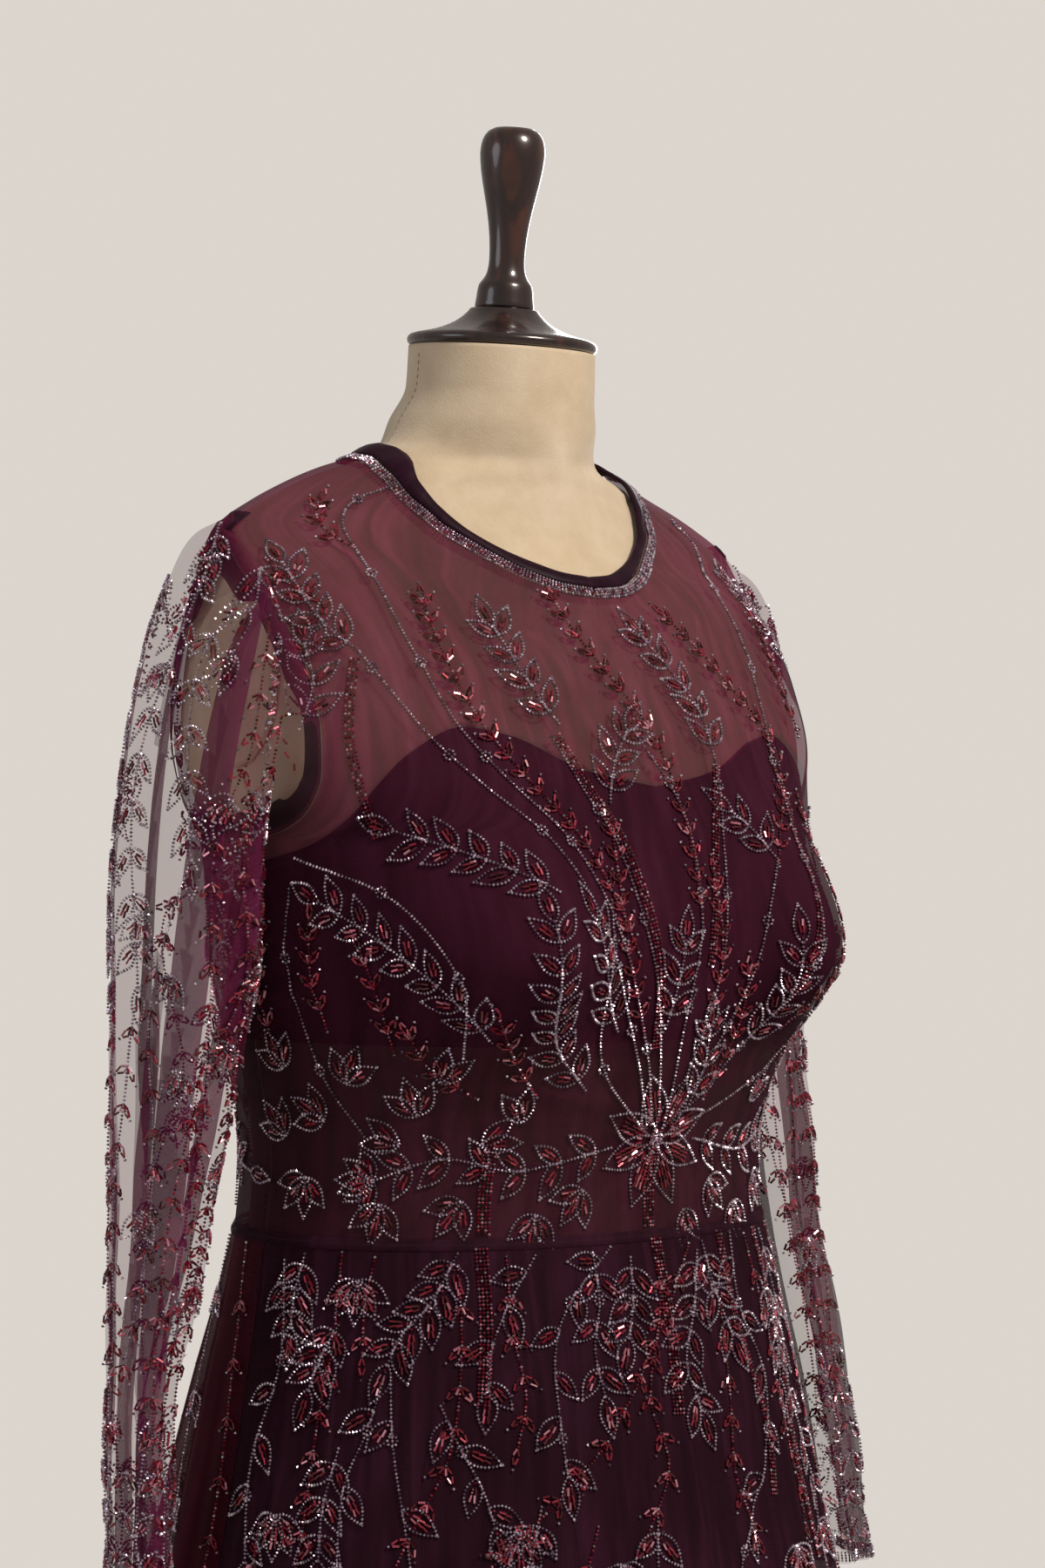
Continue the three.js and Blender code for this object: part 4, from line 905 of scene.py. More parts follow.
# %% Beads and how they are collected
SEED, BUGLE = 0, 1
SILVER, RUBY = 0, 1
SEED_PITCH = 2.0
STRAND_GAP = 1.9
OUTLINE_PITCH, BUGLE_PITCH = 1.9, 3.5
BROAD_LEAF = 12  # a leaf wider than this has two columns of bugles on each side
PAIR_SPREAD, LEAF_SPREAD = 0.72, 0.75
PALMETTE_LEAF_SHAPE = 0.44  # width of a leaf as a share of the palmette's size
worked = {name: [] for name in SURFACES}


def sew(surface, u, v, heading, x, y, turn=0.0, form=SEED, colour=SILVER):
    """Sew beads x ahead and y aside of the place (u, v), as seen along the heading."""
    cells = np.broadcast_arrays(*(np.asarray(a, float) for a in (
        u, v, x * np.cos(heading) - y * np.sin(heading), x * np.sin(heading) + y * np.cos(heading),
        heading + turn, form, colour)))
    worked[surface].append(np.stack([c.ravel() for c in cells], 1))


def stem(surface, knots, colour=SILVER, strands=1):
    """One or more rows of seed beads side by side. Ruby rows have a silver bead now and then."""
    u, v, heading = smooth_path(surface, knots)
    for i in range(strands):
        aside = (i - (strands - 1) / 2) * STRAND_GAP
        mixed = np.where((np.arange(len(u)) + 2 * i) % 5 == 0, SILVER, RUBY)
        sew(surface, u, v, heading, 0, aside, colour=mixed if colour == RUBY else colour)
    return u, v, heading


def leaf(surface, u, v, heading, length, width):
    """An almond leaf: an outline of silver seeds round a heart of ruby bugles."""
    t = np.linspace(0, 1, 60)
    x, y = length * t, width / 2 * np.sin(math.pi * t ** 0.85) ** 0.9
    run = np.concatenate([[0], np.hypot(np.diff(x), np.diff(y)).cumsum()])
    at = np.arange(0.8, run[-1], OUTLINE_PITCH)
    x, y = np.interp(at, run, x), np.interp(at, run, y)
    slant = np.arctan2(np.gradient(y), np.gradient(x))
    for side in (1, -1):
        sew(surface, u, v, heading, x, side * y, side * slant)
    sew(surface, u, v, heading, length + 0.6, 0)
    count = max(1, int(length * 0.5 / 3.4))
    vein = length * 0.27 + BUGLE_PITCH * (np.arange(count) + 0.5)
    for side in (1, -1):
        for away in (1.1, 3.3) if width > BROAD_LEAF else (1.1,):
            sew(surface, u, v, heading, vein, side * away, side * 0.16, BUGLE, RUBY)
    sew(surface, u, v, heading, length * 0.14, 0, colour=RUBY)


def ruby_leaf(surface, u, v, heading, length):
    """A small pointed leaf of four ruby bugles with a silver bead at its tip."""
    for x, y, turn in ((0.26, 0.9, 0.35), (0.26, -0.9, -0.35), (0.68, 0.95, -0.3),
                       (0.68, -0.95, 0.3)):
        sew(surface, u, v, heading, x * length, y, turn, BUGLE, RUBY)
    sew(surface, u, v, heading, length * 1.072, 0)


def ring(surface, u, v, radius=2.6):
    """A small rosette: a round of silver seeds with one ruby bead in the middle."""
    turn = np.linspace(0, 2 * math.pi, 8, endpoint=False)
    sew(surface, u, v, 0, radius * np.cos(turn), radius * np.sin(turn), turn + math.pi / 2)
    sew(surface, u, v, 0, 0, 0, colour=RUBY)


def sprig(surface, knots, spacing=13, size=10, colour=RUBY):
    """A stem with pairs of small ruby leaves that point along it, and one at its end."""
    u, v, heading = stem(surface, knots, colour)
    step = max(2, round(spacing / SEED_PITCH))
    for i in range(step, len(u), step):
        for side in (1, -1):
            ruby_leaf(surface, u[i], v[i], heading[i] + side * PAIR_SPREAD, size)
    ruby_leaf(surface, u[-1], v[-1], heading[-1], size)


def spray(surface, knots, spacing=17, size=20, width=9, pairs=True):
    """A stem with almond leaves on both sides, in pairs or by turns, and one at its end."""
    u, v, heading = stem(surface, knots)
    step = max(2, round(spacing / SEED_PITCH))
    for count, i in enumerate(range(step // 2, len(u) - 2, step)):
        for side in ((1, -1) if pairs else ((1,) if count % 2 else (-1,))):
            grow = 0.92 + 0.1 * math.sin(2.1 * i + side)
            leaf(surface, u[i], v[i], heading[i] + side * LEAF_SPREAD, size * grow,
                 width * grow)
    leaf(surface, u[-1], v[-1], heading[-1], size, width)


def palmette(surface, u, v, heading, size, leaves, spread):
    """A fan of almond leaves from one point."""
    for i in range(leaves):
        bend = (i - (leaves - 1) / 2) * spread
        leaf(surface, u, v, heading + bend, size * (1 - 0.12 * abs(bend)),
             size * PALMETTE_LEAF_SHAPE)


def along(surface, knots, every):
    """Rosettes at even distances along a stem."""
    u, v, _ = smooth_path(surface, knots)
    for i in range(0, len(u), round(every / SEED_PITCH)):
        ring(surface, u[i], v[i])


# %% [markdown]
# The plan of the work: a flower at the middle of the waist, stems that fan up from it over the
# bust to the neck, a garland round the waist, and vines that hang down the skirt and sleeves.
# Each row of a table is one stem, as places (degrees round the body, millimetres above the
# floor), or on a sleeve as (turn round the tube, ring down it).

# %% The flower and the stems of the bodice
NORTH, SOUTH, EAST, WEST = math.pi / 2, -math.pi / 2, 0.0, math.pi
FLOWER = (2, 1091)
for i in range(8):
    leaf("bodice", *FLOWER, 0.39 + i * math.pi / 4, 36, 16)
ring("bodice", *FLOWER, 3.4)

SILVER_STEMS = [
    [(0, 1100), (-5, 1140), (-14, 1195), (-24, 1250), (-34, 1305), (-44, 1362), (-51, 1392),
     (-54, 1418), (-50, 1428)],
    [(-1, 1100), (-9, 1150), (-20, 1205), (-29, 1252), (-40, 1300), (-50, 1338)],
    [(1, 1105), (-3, 1150), (-8, 1200), (-12, 1245), (-17, 1296)],
    [(3, 1105), (2, 1160), (4, 1210), (3, 1255), (-2, 1300)],
    [(4, 1104), (8, 1160), (11, 1220), (12, 1285)],
    [(5, 1102), (14, 1150), (20, 1205), (24, 1232)],
    [(5, 1100), (20, 1140), (29, 1180), (31, 1235), (28, 1290), (33, 1330), (42, 1372),
     (52, 1398), (62, 1424)],
    [(6, 1096), (28, 1120), (42, 1150), (50, 1200), (54, 1262)],
    [(-2, 1098), (-13, 1130), (-17, 1172), (-16, 1215)],
    [(-43, 1140), (-48, 1178), (-57, 1216), (-74, 1236)],
    [(-62, 1096), (-72, 1130), (-78, 1180), (-76, 1222)],
    [(66, 1096), (74, 1140), (76, 1190), (72, 1228)],
]
for knots in SILVER_STEMS:
    stem("bodice", knots)
    along("bodice", knots[1:], 60)

RUBY_SPRIGS = [
    [(-6, 1146), (-12, 1186), (-13, 1222), (-12, 1252)],
    [(8, 1150), (9, 1190), (8, 1226)],
    [(30, 1150), (38, 1186), (40, 1222), (36, 1262)],
    [(-38, 1118), (-48, 1132), (-54, 1150)],
    [(-84, 1140), (-86, 1170), (-84, 1206)],
    [(84, 1136), (86, 1166), (84, 1204)],
    [(-10, 1188), (-20, 1246), (-27, 1290), (-33, 1328), (-38, 1366)],
    [(4, 1200), (3, 1250), (0, 1306), (-8, 1345), (-13, 1368)],
    [(24, 1228), (30, 1284), (24, 1322), (17, 1362)],
    [(-56, 1140), (-60, 1165), (-63, 1190)],
    [(-70, 1150), (-73, 1176), (-72, 1206)],
    [(-26, 1118), (-34, 1142), (-40, 1160)],
    [(12, 1112), (17, 1146), (16, 1178)],
    [(40, 1128), (46, 1160), (47, 1192)],
    [(58, 1150), (62, 1186), (60, 1222)],
    [(-51, 1392), (-57, 1404), (-62, 1420)],
    [(44, 1300), (46, 1336), (52, 1366)],
    [(-70, 1386), (-64, 1372), (-60, 1366)],
]
for knots in RUBY_SPRIGS:
    sprig("bodice", knots)

LEAF_SPRAYS = [
    [(-40, 1150), (-50, 1172), (-62, 1200), (-70, 1214)],
    [(20, 1140), (26, 1164), (26, 1192)],
    [(-12, 1150), (-18, 1176), (-22, 1204)],
    [(8, 1108), (10, 1130), (9, 1150)],
    [(64, 1172), (66, 1206), (62, 1236)],
    [(-50, 1338), (-57, 1353), (-66, 1384)],
    [(-15, 1302), (-20, 1326), (-25, 1352)],
    [(12, 1286), (11, 1318), (7, 1350)],
    [(-30, 1216), (-40, 1232), (-53, 1250)],
    [(-16, 1120), (-26, 1148), (-32, 1176), (-33, 1204)],
    [(24, 1232), (20, 1246), (14, 1258)],
    [(48, 1120), (54, 1146), (55, 1176)],
    [(-2, 1150), (-1, 1172), (0, 1192)],
    [(-64, 1300), (-60, 1322), (-61, 1342)],
    [(62, 1340), (56, 1364), (60, 1388)],
    [(-10, 1262), (-7, 1282), (-3, 1300)],
]
for knots in LEAF_SPRAYS:
    spray("bodice", knots)

RUBY_STRANDS = [
    ([(-51, 1334), (-54, 1296), (-56, 1246)], 3),
    ([(-16, 1296), (-11, 1250), (-6, 1196), (-3, 1140)], 3),
    ([(12, 1282), (9, 1236), (6, 1180)], 3),
    ([(30, 1270), (31, 1220), (26, 1160)], 2),
    ([(2, 1096), (1, 1072), (1, 1044)], 4),
    ([(-34, 1090), (-35, 1066), (-35, 1044)], 4),
    ([(52, 1236), (55, 1190), (52, 1140)], 2),
]
for knots, strands in RUBY_STRANDS:
    stem("bodice", knots, RUBY, strands)

# %% The garland round the waist, and the back
GARLAND = [[(-8, 1088), (-28, 1077), (-44, 1084), (-60, 1072)],
           [(12, 1090), (30, 1080), (46, 1088), (62, 1076)]]
for knots in GARLAND:
    spray("bodice", knots, spacing=21)
    palmette("bodice", *knots[-1], WEST if knots[-1][0] < 0 else EAST, 20, 5, 0.62)
for angle, height, heading, leaves in (
        (-50, 1108, 1.9, 3), (-72, 1104, 2.6, 3), (-40, 1062, -2.2, 3), (-58, 1060, -1.8, 3),
        (-14, 1066, -2.2, 3), (-78, 1072, -1.9, 4), (18, 1066, -0.9, 3), (40, 1064, -1, 3),
        (58, 1108, 0.9, 3), (76, 1096, 0.6, 4), (-82, 1130, 2, 3), (-28, 1104, 1.9, 2),
        (32, 1108, 1, 2), (-24, 1054, -1.8, 3), (10, 1052, -1.3, 2), (-66, 1124, 1.2, 3),
        (-54, 1092, 2.8, 2), (-36, 1092, 0.4, 2), (50, 1094, 0.4, 2), (28, 1052, -1.4, 3),
        (-84, 1094, 2.2, 3), (66, 1060, -1.2, 3), (-46, 1126, 1.1, 2)):
    palmette("bodice", angle, height, heading, 21, leaves, 0.7)

for side in (1, -1):
    for start, knots in enumerate((
            [(172, 1060), (168, 1130), (160, 1200), (150, 1270), (140, 1340), (128, 1400)],
            [(160, 1050), (150, 1120), (138, 1190), (128, 1260), (126, 1320)],
            [(142, 1050), (130, 1110), (118, 1170), (108, 1215)],
            [(122, 1050), (110, 1100), (100, 1150), (96, 1200)],
            [(174, 1200), (170, 1270), (164, 1340), (158, 1410)])):
        path = [(side * a, h) for a, h in knots]
        if start % 2:
            sprig("bodice", path, spacing=16)
        else:
            spray("bodice", path, spacing=34, pairs=start == 0)
    spray("bodice", [(side * a, h) for a, h in ((176, 1078), (150, 1070), (124, 1080),
                                                (98, 1072))], spacing=24, size=18, width=8)

# %% [markdown]
# Four close rows of beads edge the neckline just outside the binding.

# %% The beaded edge of the neckline
EDGE_PITCH, EDGE_INSET, EDGE_ROW_GAP = 1.75, 0.9, 1.65
around = np.linspace(0, 1, 1200)
neck_run = run_of(over_form(*neck_place(around), 0))
u, v = neck_place(np.interp(np.arange(0, neck_run[-1] - 1, EDGE_PITCH), neck_run, around))
heading = heading_of("bodice", u, v, within_half_turn(np.roll(u, -1) - np.roll(u, 1)),
                     np.roll(v, -1) - np.roll(v, 1))
for row in range(4):
    mixed = np.where((np.arange(len(u)) * 7 + row * 3) % 4 == 0, RUBY, SILVER)
    sew("bodice", u, v, heading, 0, -(EDGE_INSET + EDGE_ROW_GAP * row),
        colour=mixed if row in (1, 2) else SILVER)
print("neckline, mm:", round(float(neck_run[-1])), "beads in its edge:", 4 * len(u))

# %% The vines of the skirt: listed one by one in front, by the same plan all round
SKIRT_SPRAYS = [
    ([(-40, 1036), (-46, 1012), (-52, 996), (-55, 980)], 12, True),
    ([(-8, 1036), (-18, 1010), (-22, 985), (-22, 955), (-21, 925)], 22, False),
    ([(-66, 1000), (-70, 982), (-72, 966)], 10, True),
    ([(-55, 978), (-58, 950), (-62, 920), (-62, 880), (-60, 830)], 40, False),
    ([(-54, 976), (-53, 945), (-50, 905), (-48, 860), (-50, 800)], 44, False),
    ([(12, 1030), (8, 1000), (4, 975), (6, 950)], 18, True),
    ([(24, 1036), (22, 1000), (26, 960), (20, 915), (10, 870), (8, 820)], 30, False),
    ([(40, 1034), (42, 990), (38, 950), (44, 900), (40, 850)], 26, True),
    ([(58, 1034), (60, 980), (56, 930), (60, 880), (58, 830)], 28, False),
    ([(-5, 905), (-6, 870), (-4, 830), (-10, 780)], 24, True),
    ([(-82, 1030), (-80, 980), (-84, 930), (-82, 880)], 26, False),
    ([(-30, 860), (-34, 830), (-32, 790), (-38, 750)], 24, True),
    ([(-24, 1034), (-30, 1012), (-34, 990), (-35, 968)], 20, False),
    ([(-76, 1034), (-78, 1014), (-78, 996)], 12, True),
    ([(-12, 1034), (-12, 1010), (-14, 986), (-13, 962)], 24, True),
    ([(-44, 962), (-40, 940), (-36, 920), (-34, 902)], 16, False),
    ([(-4, 1030), (-5, 1008), (-7, 990)], 14, True),
    ([(34, 1010), (36, 980), (34, 956)], 16, True),
    ([(14, 1034), (15, 1010), (18, 984)], 18, True),
    ([(50, 1010), (53, 980), (54, 952)], 18, True),
    ([(-64, 940), (-66, 912), (-66, 884)], 18, True),
    ([(-26, 912), (-28, 880), (-24, 850)], 20, True),
]
for knots, spacing, pairs in SKIRT_SPRAYS:
    spray("skirt", knots, spacing=spacing, size=21, width=10, pairs=pairs)
    along("skirt", knots[1:], 70)

SKIRT_SPRIGS = [
    [(-66, 1036), (-67, 990), (-69, 950), (-70, 905), (-71, 860), (-70, 800)],
    [(-40, 1030), (-40, 985), (-42, 940), (-48, 905), (-52, 880)],
    [(10, 1034), (0, 995), (-12, 945), (-24, 912), (-40, 872), (-52, 850)],
    [(2, 1036), (0, 1000), (-4, 960), (-2, 925), (-8, 890)],
    [(30, 1034), (32, 985), (30, 940), (34, 900), (30, 850), (32, 800)],
    [(48, 1036), (50, 990), (48, 940), (52, 890), (50, 830)],
    [(68, 1036), (70, 980), (72, 920), (70, 860)],
    [(-16, 900), (-20, 860), (-18, 820), (-24, 780)],
    [(16, 1004), (14, 960), (12, 915), (16, 880)],
    [(-30, 1034), (-30, 1000), (-28, 966), (-30, 940)],
    [(-58, 1034), (-60, 1010), (-60, 984)],
    [(-80, 900), (-80, 860), (-78, 820)],
    [(62, 1000), (64, 960), (63, 920)],
]
for knots in SKIRT_SPRIGS:
    sprig("skirt", knots, spacing=20, size=11)
for knots, strands in (([(-35, 1038), (-35, 1000), (-36, 960)], 4),
                       ([(2, 1038), (2, 1000), (1, 950)], 4),
                       ([(20, 1038), (20, 990), (24, 940), (22, 900)], 3),
                       ([(36, 1036), (37, 980), (35, 920), (38, 860)], 3)):
    stem("skirt", knots, RUBY, strands)
for angle, height in ((-12, 880), (-30, 900), (26, 872), (-76, 905), (46, 876), (-62, 1022)):
    palmette("skirt", angle, height, SOUTH, 22, 5, 0.5)

LONG_VINES = 26
rng = np.random.default_rng(7)
for i in range(LONG_VINES):
    angle = -180 + 360 / LONG_VINES * i + rng.uniform(-3, 3)
    top = rng.uniform(700, 780) if abs(angle) < 90 else rng.uniform(1020, 1036)
    down = np.arange(top, rng.uniform(40, 160), -95)
    knots = [(angle + 4 * math.sin(1.3 * k + i), h) for k, h in enumerate(down)]
    if i % 2:
        spray("skirt", knots, spacing=56, size=22, width=10, pairs=i % 4 == 1)
    else:
        sprig("skirt", knots, spacing=30, size=9)
print("skirt bead rows:", len(worked["skirt"]))

# %% The vines of the sleeves, dense towards the cuffs
SLEEVE_VINES = [
    [(0.6, -0.6), (0.9, 0.6), (0.5, 1.8), (0.8, 3.2), (0.4, 4.6), (0.7, 6.2), (0.3, 8)],
    [(1.6, -0.7), (1.9, 0.8), (1.5, 2.2), (1.9, 3.6), (1.5, 5.2), (1.8, 7), (1.4, 9)],
    [(2.6, -0.6), (2.9, 0.8), (2.5, 2.4), (2.9, 4), (2.4, 5.8), (2.8, 7.8)],
    [(3.9, -0.5), (3.6, 1), (4.1, 2.8), (3.7, 4.6), (4.1, 6.6), (3.7, 8.6)],
    [(5.2, -0.6), (5.6, 0.9), (5.1, 2.6), (5.6, 4.4), (5.2, 6.4), (5.6, 8.4)],
    [(1.1, 0.2), (1.35, 1.6), (1.05, 3), (1.3, 4.8), (1.0, 6.8), (1.25, 9.2)],
    [(0.1, -0.2), (0.25, 1.2), (-0.05, 2.8), (0.2, 4.4), (-0.1, 6.4), (0.1, 8.6)],
    [(2.1, 0.4), (2.3, 1.9), (2.0, 3.6), (2.25, 5.2), (2.0, 7.2), (2.2, 9.4)],
    [(3.3, 0.2), (3.1, 1.8), (3.4, 3.6), (3.1, 5.6), (3.35, 8)],
]
CUFF_EDGE_ROWS = (11.93, 11.88, 11.83, 11.78)
for sleeve in ("sleeve_right", "sleeve_left"):
    for i, knots in enumerate(SLEEVE_VINES):
        if i % 2:
            sprig(sleeve, knots, spacing=20, size=10)
        else:
            spray(sleeve, knots[:4], spacing=24, size=20, width=8.5, pairs=True)
            sprig(sleeve, knots[3:], spacing=20, size=10, colour=SILVER)
    for turn, row in ((0.3, 0.6), (1.3, -0.1), (2.2, 0.5), (5.9, 1), (1.2, 2.4), (2.3, 3.1),
                      (0.2, 3.8), (3.2, 2.2), (4.6, 1.4), (5.0, 3.6), (1.0, 5), (2.4, 5.6),
                      (0, 1.9), (0.9, 1.4), (1.8, 1.5), (0.7, 4.2), (1.9, 4.4), (0.5, 6.4),
                      (1.5, 7.2), (2.6, 7), (3.6, 5), (5.4, 6)):
        palmette(sleeve, turn, row, NORTH, 19, 3, 0.6)
    for turn in np.linspace(0, 2 * math.pi, 7, endpoint=False):
        knots = [(turn, 11.9), (turn + 0.15, 10.9), (turn - 0.1, 9.9), (turn + 0.1, 8.9)]
        spray(sleeve, knots, spacing=19, size=16, width=7.5)
    for row in CUFF_EDGE_ROWS:
        stem(sleeve, [(t, row) for t in np.linspace(0, 2 * math.pi, 13)])
print("sewn:", {name: sum(len(part) for part in parts) for name, parts in worked.items()})

# %% [markdown]
# A seed bead is a tiny ring of glass, drawn as a small faceted bead. A bugle is a cut glass tube.
# All beads of one colour on one part of the gown are one joined mesh. Each bead takes its colour
# at random from a ramp: partly the glass's own, and partly a painted glint, pale where a bead
# would catch the light, since no two glass beads catch it alike.

# %% Laying the beads
SEED_RADIUS, SEED_HALF = 0.98, 0.8
BUGLE_RADIUS, BUGLE_HALF = 0.66, 1.8
BEAD_LIFT = 0.5  # from the net's face to the middle of a bead


def belt(x, radius, sides):
    turn = np.linspace(0, 2 * math.pi, sides, endpoint=False)
    return np.stack([0 * turn + x, radius * np.cos(turn), radius * np.sin(turn)], 1)


def seed_shape(sides):
    points = np.vstack([belt(0, SEED_RADIUS, sides), [[SEED_HALF, 0, 0], [-SEED_HALF, 0, 0]]])
    faces = []
    for i in range(sides):
        j = (i + 1) % sides
        faces += [[i, j, sides], [j, i, sides + 1]]
    return points, np.array(faces)


def bugle_shape(sides):
    faces = []
    for i in range(sides):
        j = (i + 1) % sides
        faces += [[i, j, sides + j], [i, sides + j, sides + i]]
    for i in range(1, sides - 1):
        faces += [[0, i + 1, i], [sides, sides + i, sides + i + 1]]
    belts = [belt(x, BUGLE_RADIUS, sides) for x in (-BUGLE_HALF, BUGLE_HALF)]
    return np.vstack(belts), np.array(faces)


def bead_mesh(name, surface, beads, shape, material):
    """Lay beads on a surface as one piece. Each is turned and sized a little by chance."""
    u, v = moved(surface, *beads[:, :4].T)
    east, north, out, _, _, _ = frame_at(surface, u, v)
    where = SURFACES[surface][0](u, v, NET_HALF) + out * BEAD_LIFT
    slant = beads[:, 4][:, None]
    forward = east * np.cos(slant) + north * np.sin(slant)
    aside = np.cross(out, forward)
    points, faces = shape
    spin = rng.uniform(0, 2 * math.pi, len(u))[:, None, None]
    size = rng.uniform(0.93, 1.06, len(u))[:, None, None]
    px, py, pz = (points[None, :, i:i + 1] for i in range(3))
    turned_y = py * np.cos(spin) - pz * np.sin(spin)
    turned_z = py * np.sin(spin) + pz * np.cos(spin)
    placed = where[:, None] + size * (px * forward[:, None] + turned_y * aside[:, None]
                                      + turned_z * out[:, None])
    every = faces[None] + (np.arange(len(u)) * len(points))[:, None, None]
    piece = finish_piece(new_piece(name, placed, every.reshape(-1, 3).tolist()), material)
    # A random value per bead picks its colour: the glass's own, with painted glints at the pale end
    # of the ramp.
    tone_and_painted_light = piece.data.attributes.new("tone_and_painted_light", "FLOAT", "POINT")
    tone_and_painted_light.data.foreach_set("value", np.repeat(rng.random(len(u)), len(points)).astype(np.float32))
    return len(piece.data.polygons)


def glass(name, stops, roughness, metallic):
    material, tree, shader = new_finish(name, {
        "Roughness": roughness, "Metallic": metallic, "Coat Weight": 0.6, "Coat Roughness": 0.06})
    tone_and_painted_light = add_node(tree, "ShaderNodeAttribute", {"attribute_name": "tone_and_painted_light"}).outputs["Fac"]
    colour_by(tree, shader, tone_and_painted_light, stops)
    return material


# The pale top stops of these ramps are painted glints.
silver_glass = glass("silver-lined glass seed beads",
                     [(0.0, "#6E5C6E"), (0.45, "#B4A2B4"), (1.0, "#F2E6F2")], 0.26, 0.8)
ruby_glass = glass("ruby glass beads", [(0.0, "#3A0410"), (0.5, "#7A1026"), (0.8, "#A82A44"),
                                        (1.0, "#E0A0B0")], 0.2, 0.45)
FRONT_REACH, CLOSE_BEADS_REACH, CLOSE_BEADS_BOTTOM = 91, 95, 700

bead_triangles = 0
for surface, parts in worked.items():
    beads = np.concatenate(parts)
    if surface == "bodice":
        in_front = np.abs(beads[:, 0]) < FRONT_REACH
        zones = {"front": in_front, "back": ~in_front}
    elif surface == "skirt":
        upper = (beads[:, 1] > CLOSE_BEADS_BOTTOM) & (np.abs(beads[:, 0]) < CLOSE_BEADS_REACH)
        zones = {"upper": upper, "lower": ~upper}
    else:
        zones = {"all": np.ones(len(beads), bool)}
    for zone, inside in zones.items():
        for kind, form, colour, shape, material in (
                ("silver_seeds", SEED, SILVER, seed_shape(4 if zone == "lower" else 6),
                 silver_glass),
                ("ruby_seeds", SEED, RUBY, seed_shape(4), ruby_glass),
                ("ruby_bugles", BUGLE, RUBY, bugle_shape(4), ruby_glass)):
            chosen = beads[inside & (beads[:, 5] == form) & (beads[:, 6] == colour)]
            made = bead_mesh(f"{kind}_{surface}_{zone}", surface, chosen, shape, material)
            bead_triangles += made
            print(kind, surface, zone, len(chosen), "beads,", made, "triangles")
print("bead triangles:", bead_triangles)

# %% [markdown]
# Seams are what hold a gown together. The armhole edge is turned twice, so it reads as a dark
# band; the waist seam is a narrow turned strip; and small even stitches run along the top of the
# lining, the side seams and the side seam of the form's neck.

# %% Turned edges of the armholes and the waist
BAND_WIDTH = 12
FLAT = np.array([1, 1, 0])  # takes the level part of a direction


def armhole_band(name, side):
    """The turned edge of an armhole, worked inwards from the edge in seven lines."""
    turn = np.linspace(0.02, 2 * math.pi - 0.02, 160)
    angle, v = armhole_place(turn)
    u = side * angle
    heading = heading_of("bodice", u, v, np.gradient(u), np.gradient(v))
    rows = []
    for share in np.linspace(0, 1, 7):
        away = 0.4 + share * BAND_WIDTH * (0.85 + 0.15 * np.sin(3 * turn))
        east, north = side * away * np.sin(heading), -side * away * np.cos(heading)
        at_u, at_v = moved("bodice", u, v, -east, -north)
        rows.append(bodice_point(at_u, at_v, 0.55 + 0.5 * math.sin(math.pi * share)))
    grid = np.stack(rows)
    return grid_sheet(name, grid if side > 0 else grid[::-1])


for name, side in (("armhole_band_left", 1), ("armhole_band_right", -1)):
    band = finish_piece(armhole_band(name, side), seam_net)
    print_area(band)

around_waist = np.linspace(-180, 180, 361)[:-1]
strip_rows = []
for up, out in ((-2.8, 0.5), (-1.6, 0.85), (0, 1), (1.6, 0.85), (2.8, 0.5)):
    base = (bodice_point if up > 0 else skirt_point)(around_waist, WAIST_SEAM_HEIGHT + up)
    strip_rows.append(base + unit(base * FLAT) * out)
waist_strip = finish_piece(grid_sheet("waist_seam_strip", np.stack(strip_rows), closed=True),
                           skirt_net)

# %% Stitches
STITCH_LENGTH, STITCH_GAP, STITCH_RADIUS = 2.4, 1.4, 0.22
THIRDS = (0, 2.1, 4.2)  # the three corners of a stitch, in radians round its thread


def stitch_row(surface_point, across, up, lift):
    """Short thread stitches along a line on a surface: their starts, ends and outward sides."""
    points = surface_point(across, up, lift)
    run = run_of(points)
    start = np.arange(0, run[-1] - STITCH_LENGTH, STITCH_LENGTH + STITCH_GAP)

    def at(run_on, values):
        return np.stack([np.interp(run_on, run, column) for column in values.T], 1)

    return at(start, points), at(start + STITCH_LENGTH, points), unit(at(start, points * FLAT))


def stitches(name, rows, material):
    """Each stitch is a thin three-sided thread, thick in the middle and tucked in at its ends."""
    first, last, out = (np.concatenate(part) for part in zip(*rows))
    aside = np.cross(out, unit(last - first))
    corners = [place + STITCH_RADIUS * tuck * (aside * math.cos(turn) + out * math.sin(turn))
               for place, tuck in ((first, 0.6), (last, 0.6), ((first + last) / 2 + out * 0.25, 1))
               for turn in THIRDS]
    points = np.stack(corners, 1)
    faces = [[a + i, b + i, b + (i + 1) % 3, a + (i + 1) % 3]
             for a, b in ((0, 6), (6, 3)) for i in range(3)]
    every = np.array(faces)[None] + 9 * np.arange(len(points))[:, None, None]
    piece = finish_piece(new_piece(name, points, every.reshape(-1, 4).tolist()), material)
    print(name, len(points), "stitches")


def thread(name, colour):
    return new_finish(name, {"Base Color": linear(colour), "Roughness": 0.6})[0]


plum_thread = thread("plum polyester thread", "#1C0914")
tan_thread = thread("tan polyester thread", "#8F7C60")
seam_rows = [stitch_row(lining_point, np.linspace(-179, 179, 700), 4.5, 0.25)]
for side in (1, -1):
    heights = np.linspace(1044, UNDERARM_HEIGHT - 2, 80)
    for away in (-1.6, 1.6):
        seam_rows.append(stitch_row(bodice_point, side * (90 + away), heights, 0.3))
    seam_rows.append(stitch_row(skirt_point, side * 90.9, np.linspace(60, 1034, 200), 0.3))
for side in (1, -1):
    seam_rows.append(stitch_row(bodice_point, side * 178.9, np.linspace(1044, 1452, 120), 0.3))
seam_rows.append(stitch_row(skirt_point, np.linspace(-180, 180, 1200), 30.0, 0.4))
stitches("plum_stitches", seam_rows, plum_thread)
neck_rows = [stitch_row(torso_point, side * 99.0, np.linspace(1454, 1509, 60), 0.15)
             for side in (1, -1)]
stitches("tan_stitches", neck_rows, tan_thread)

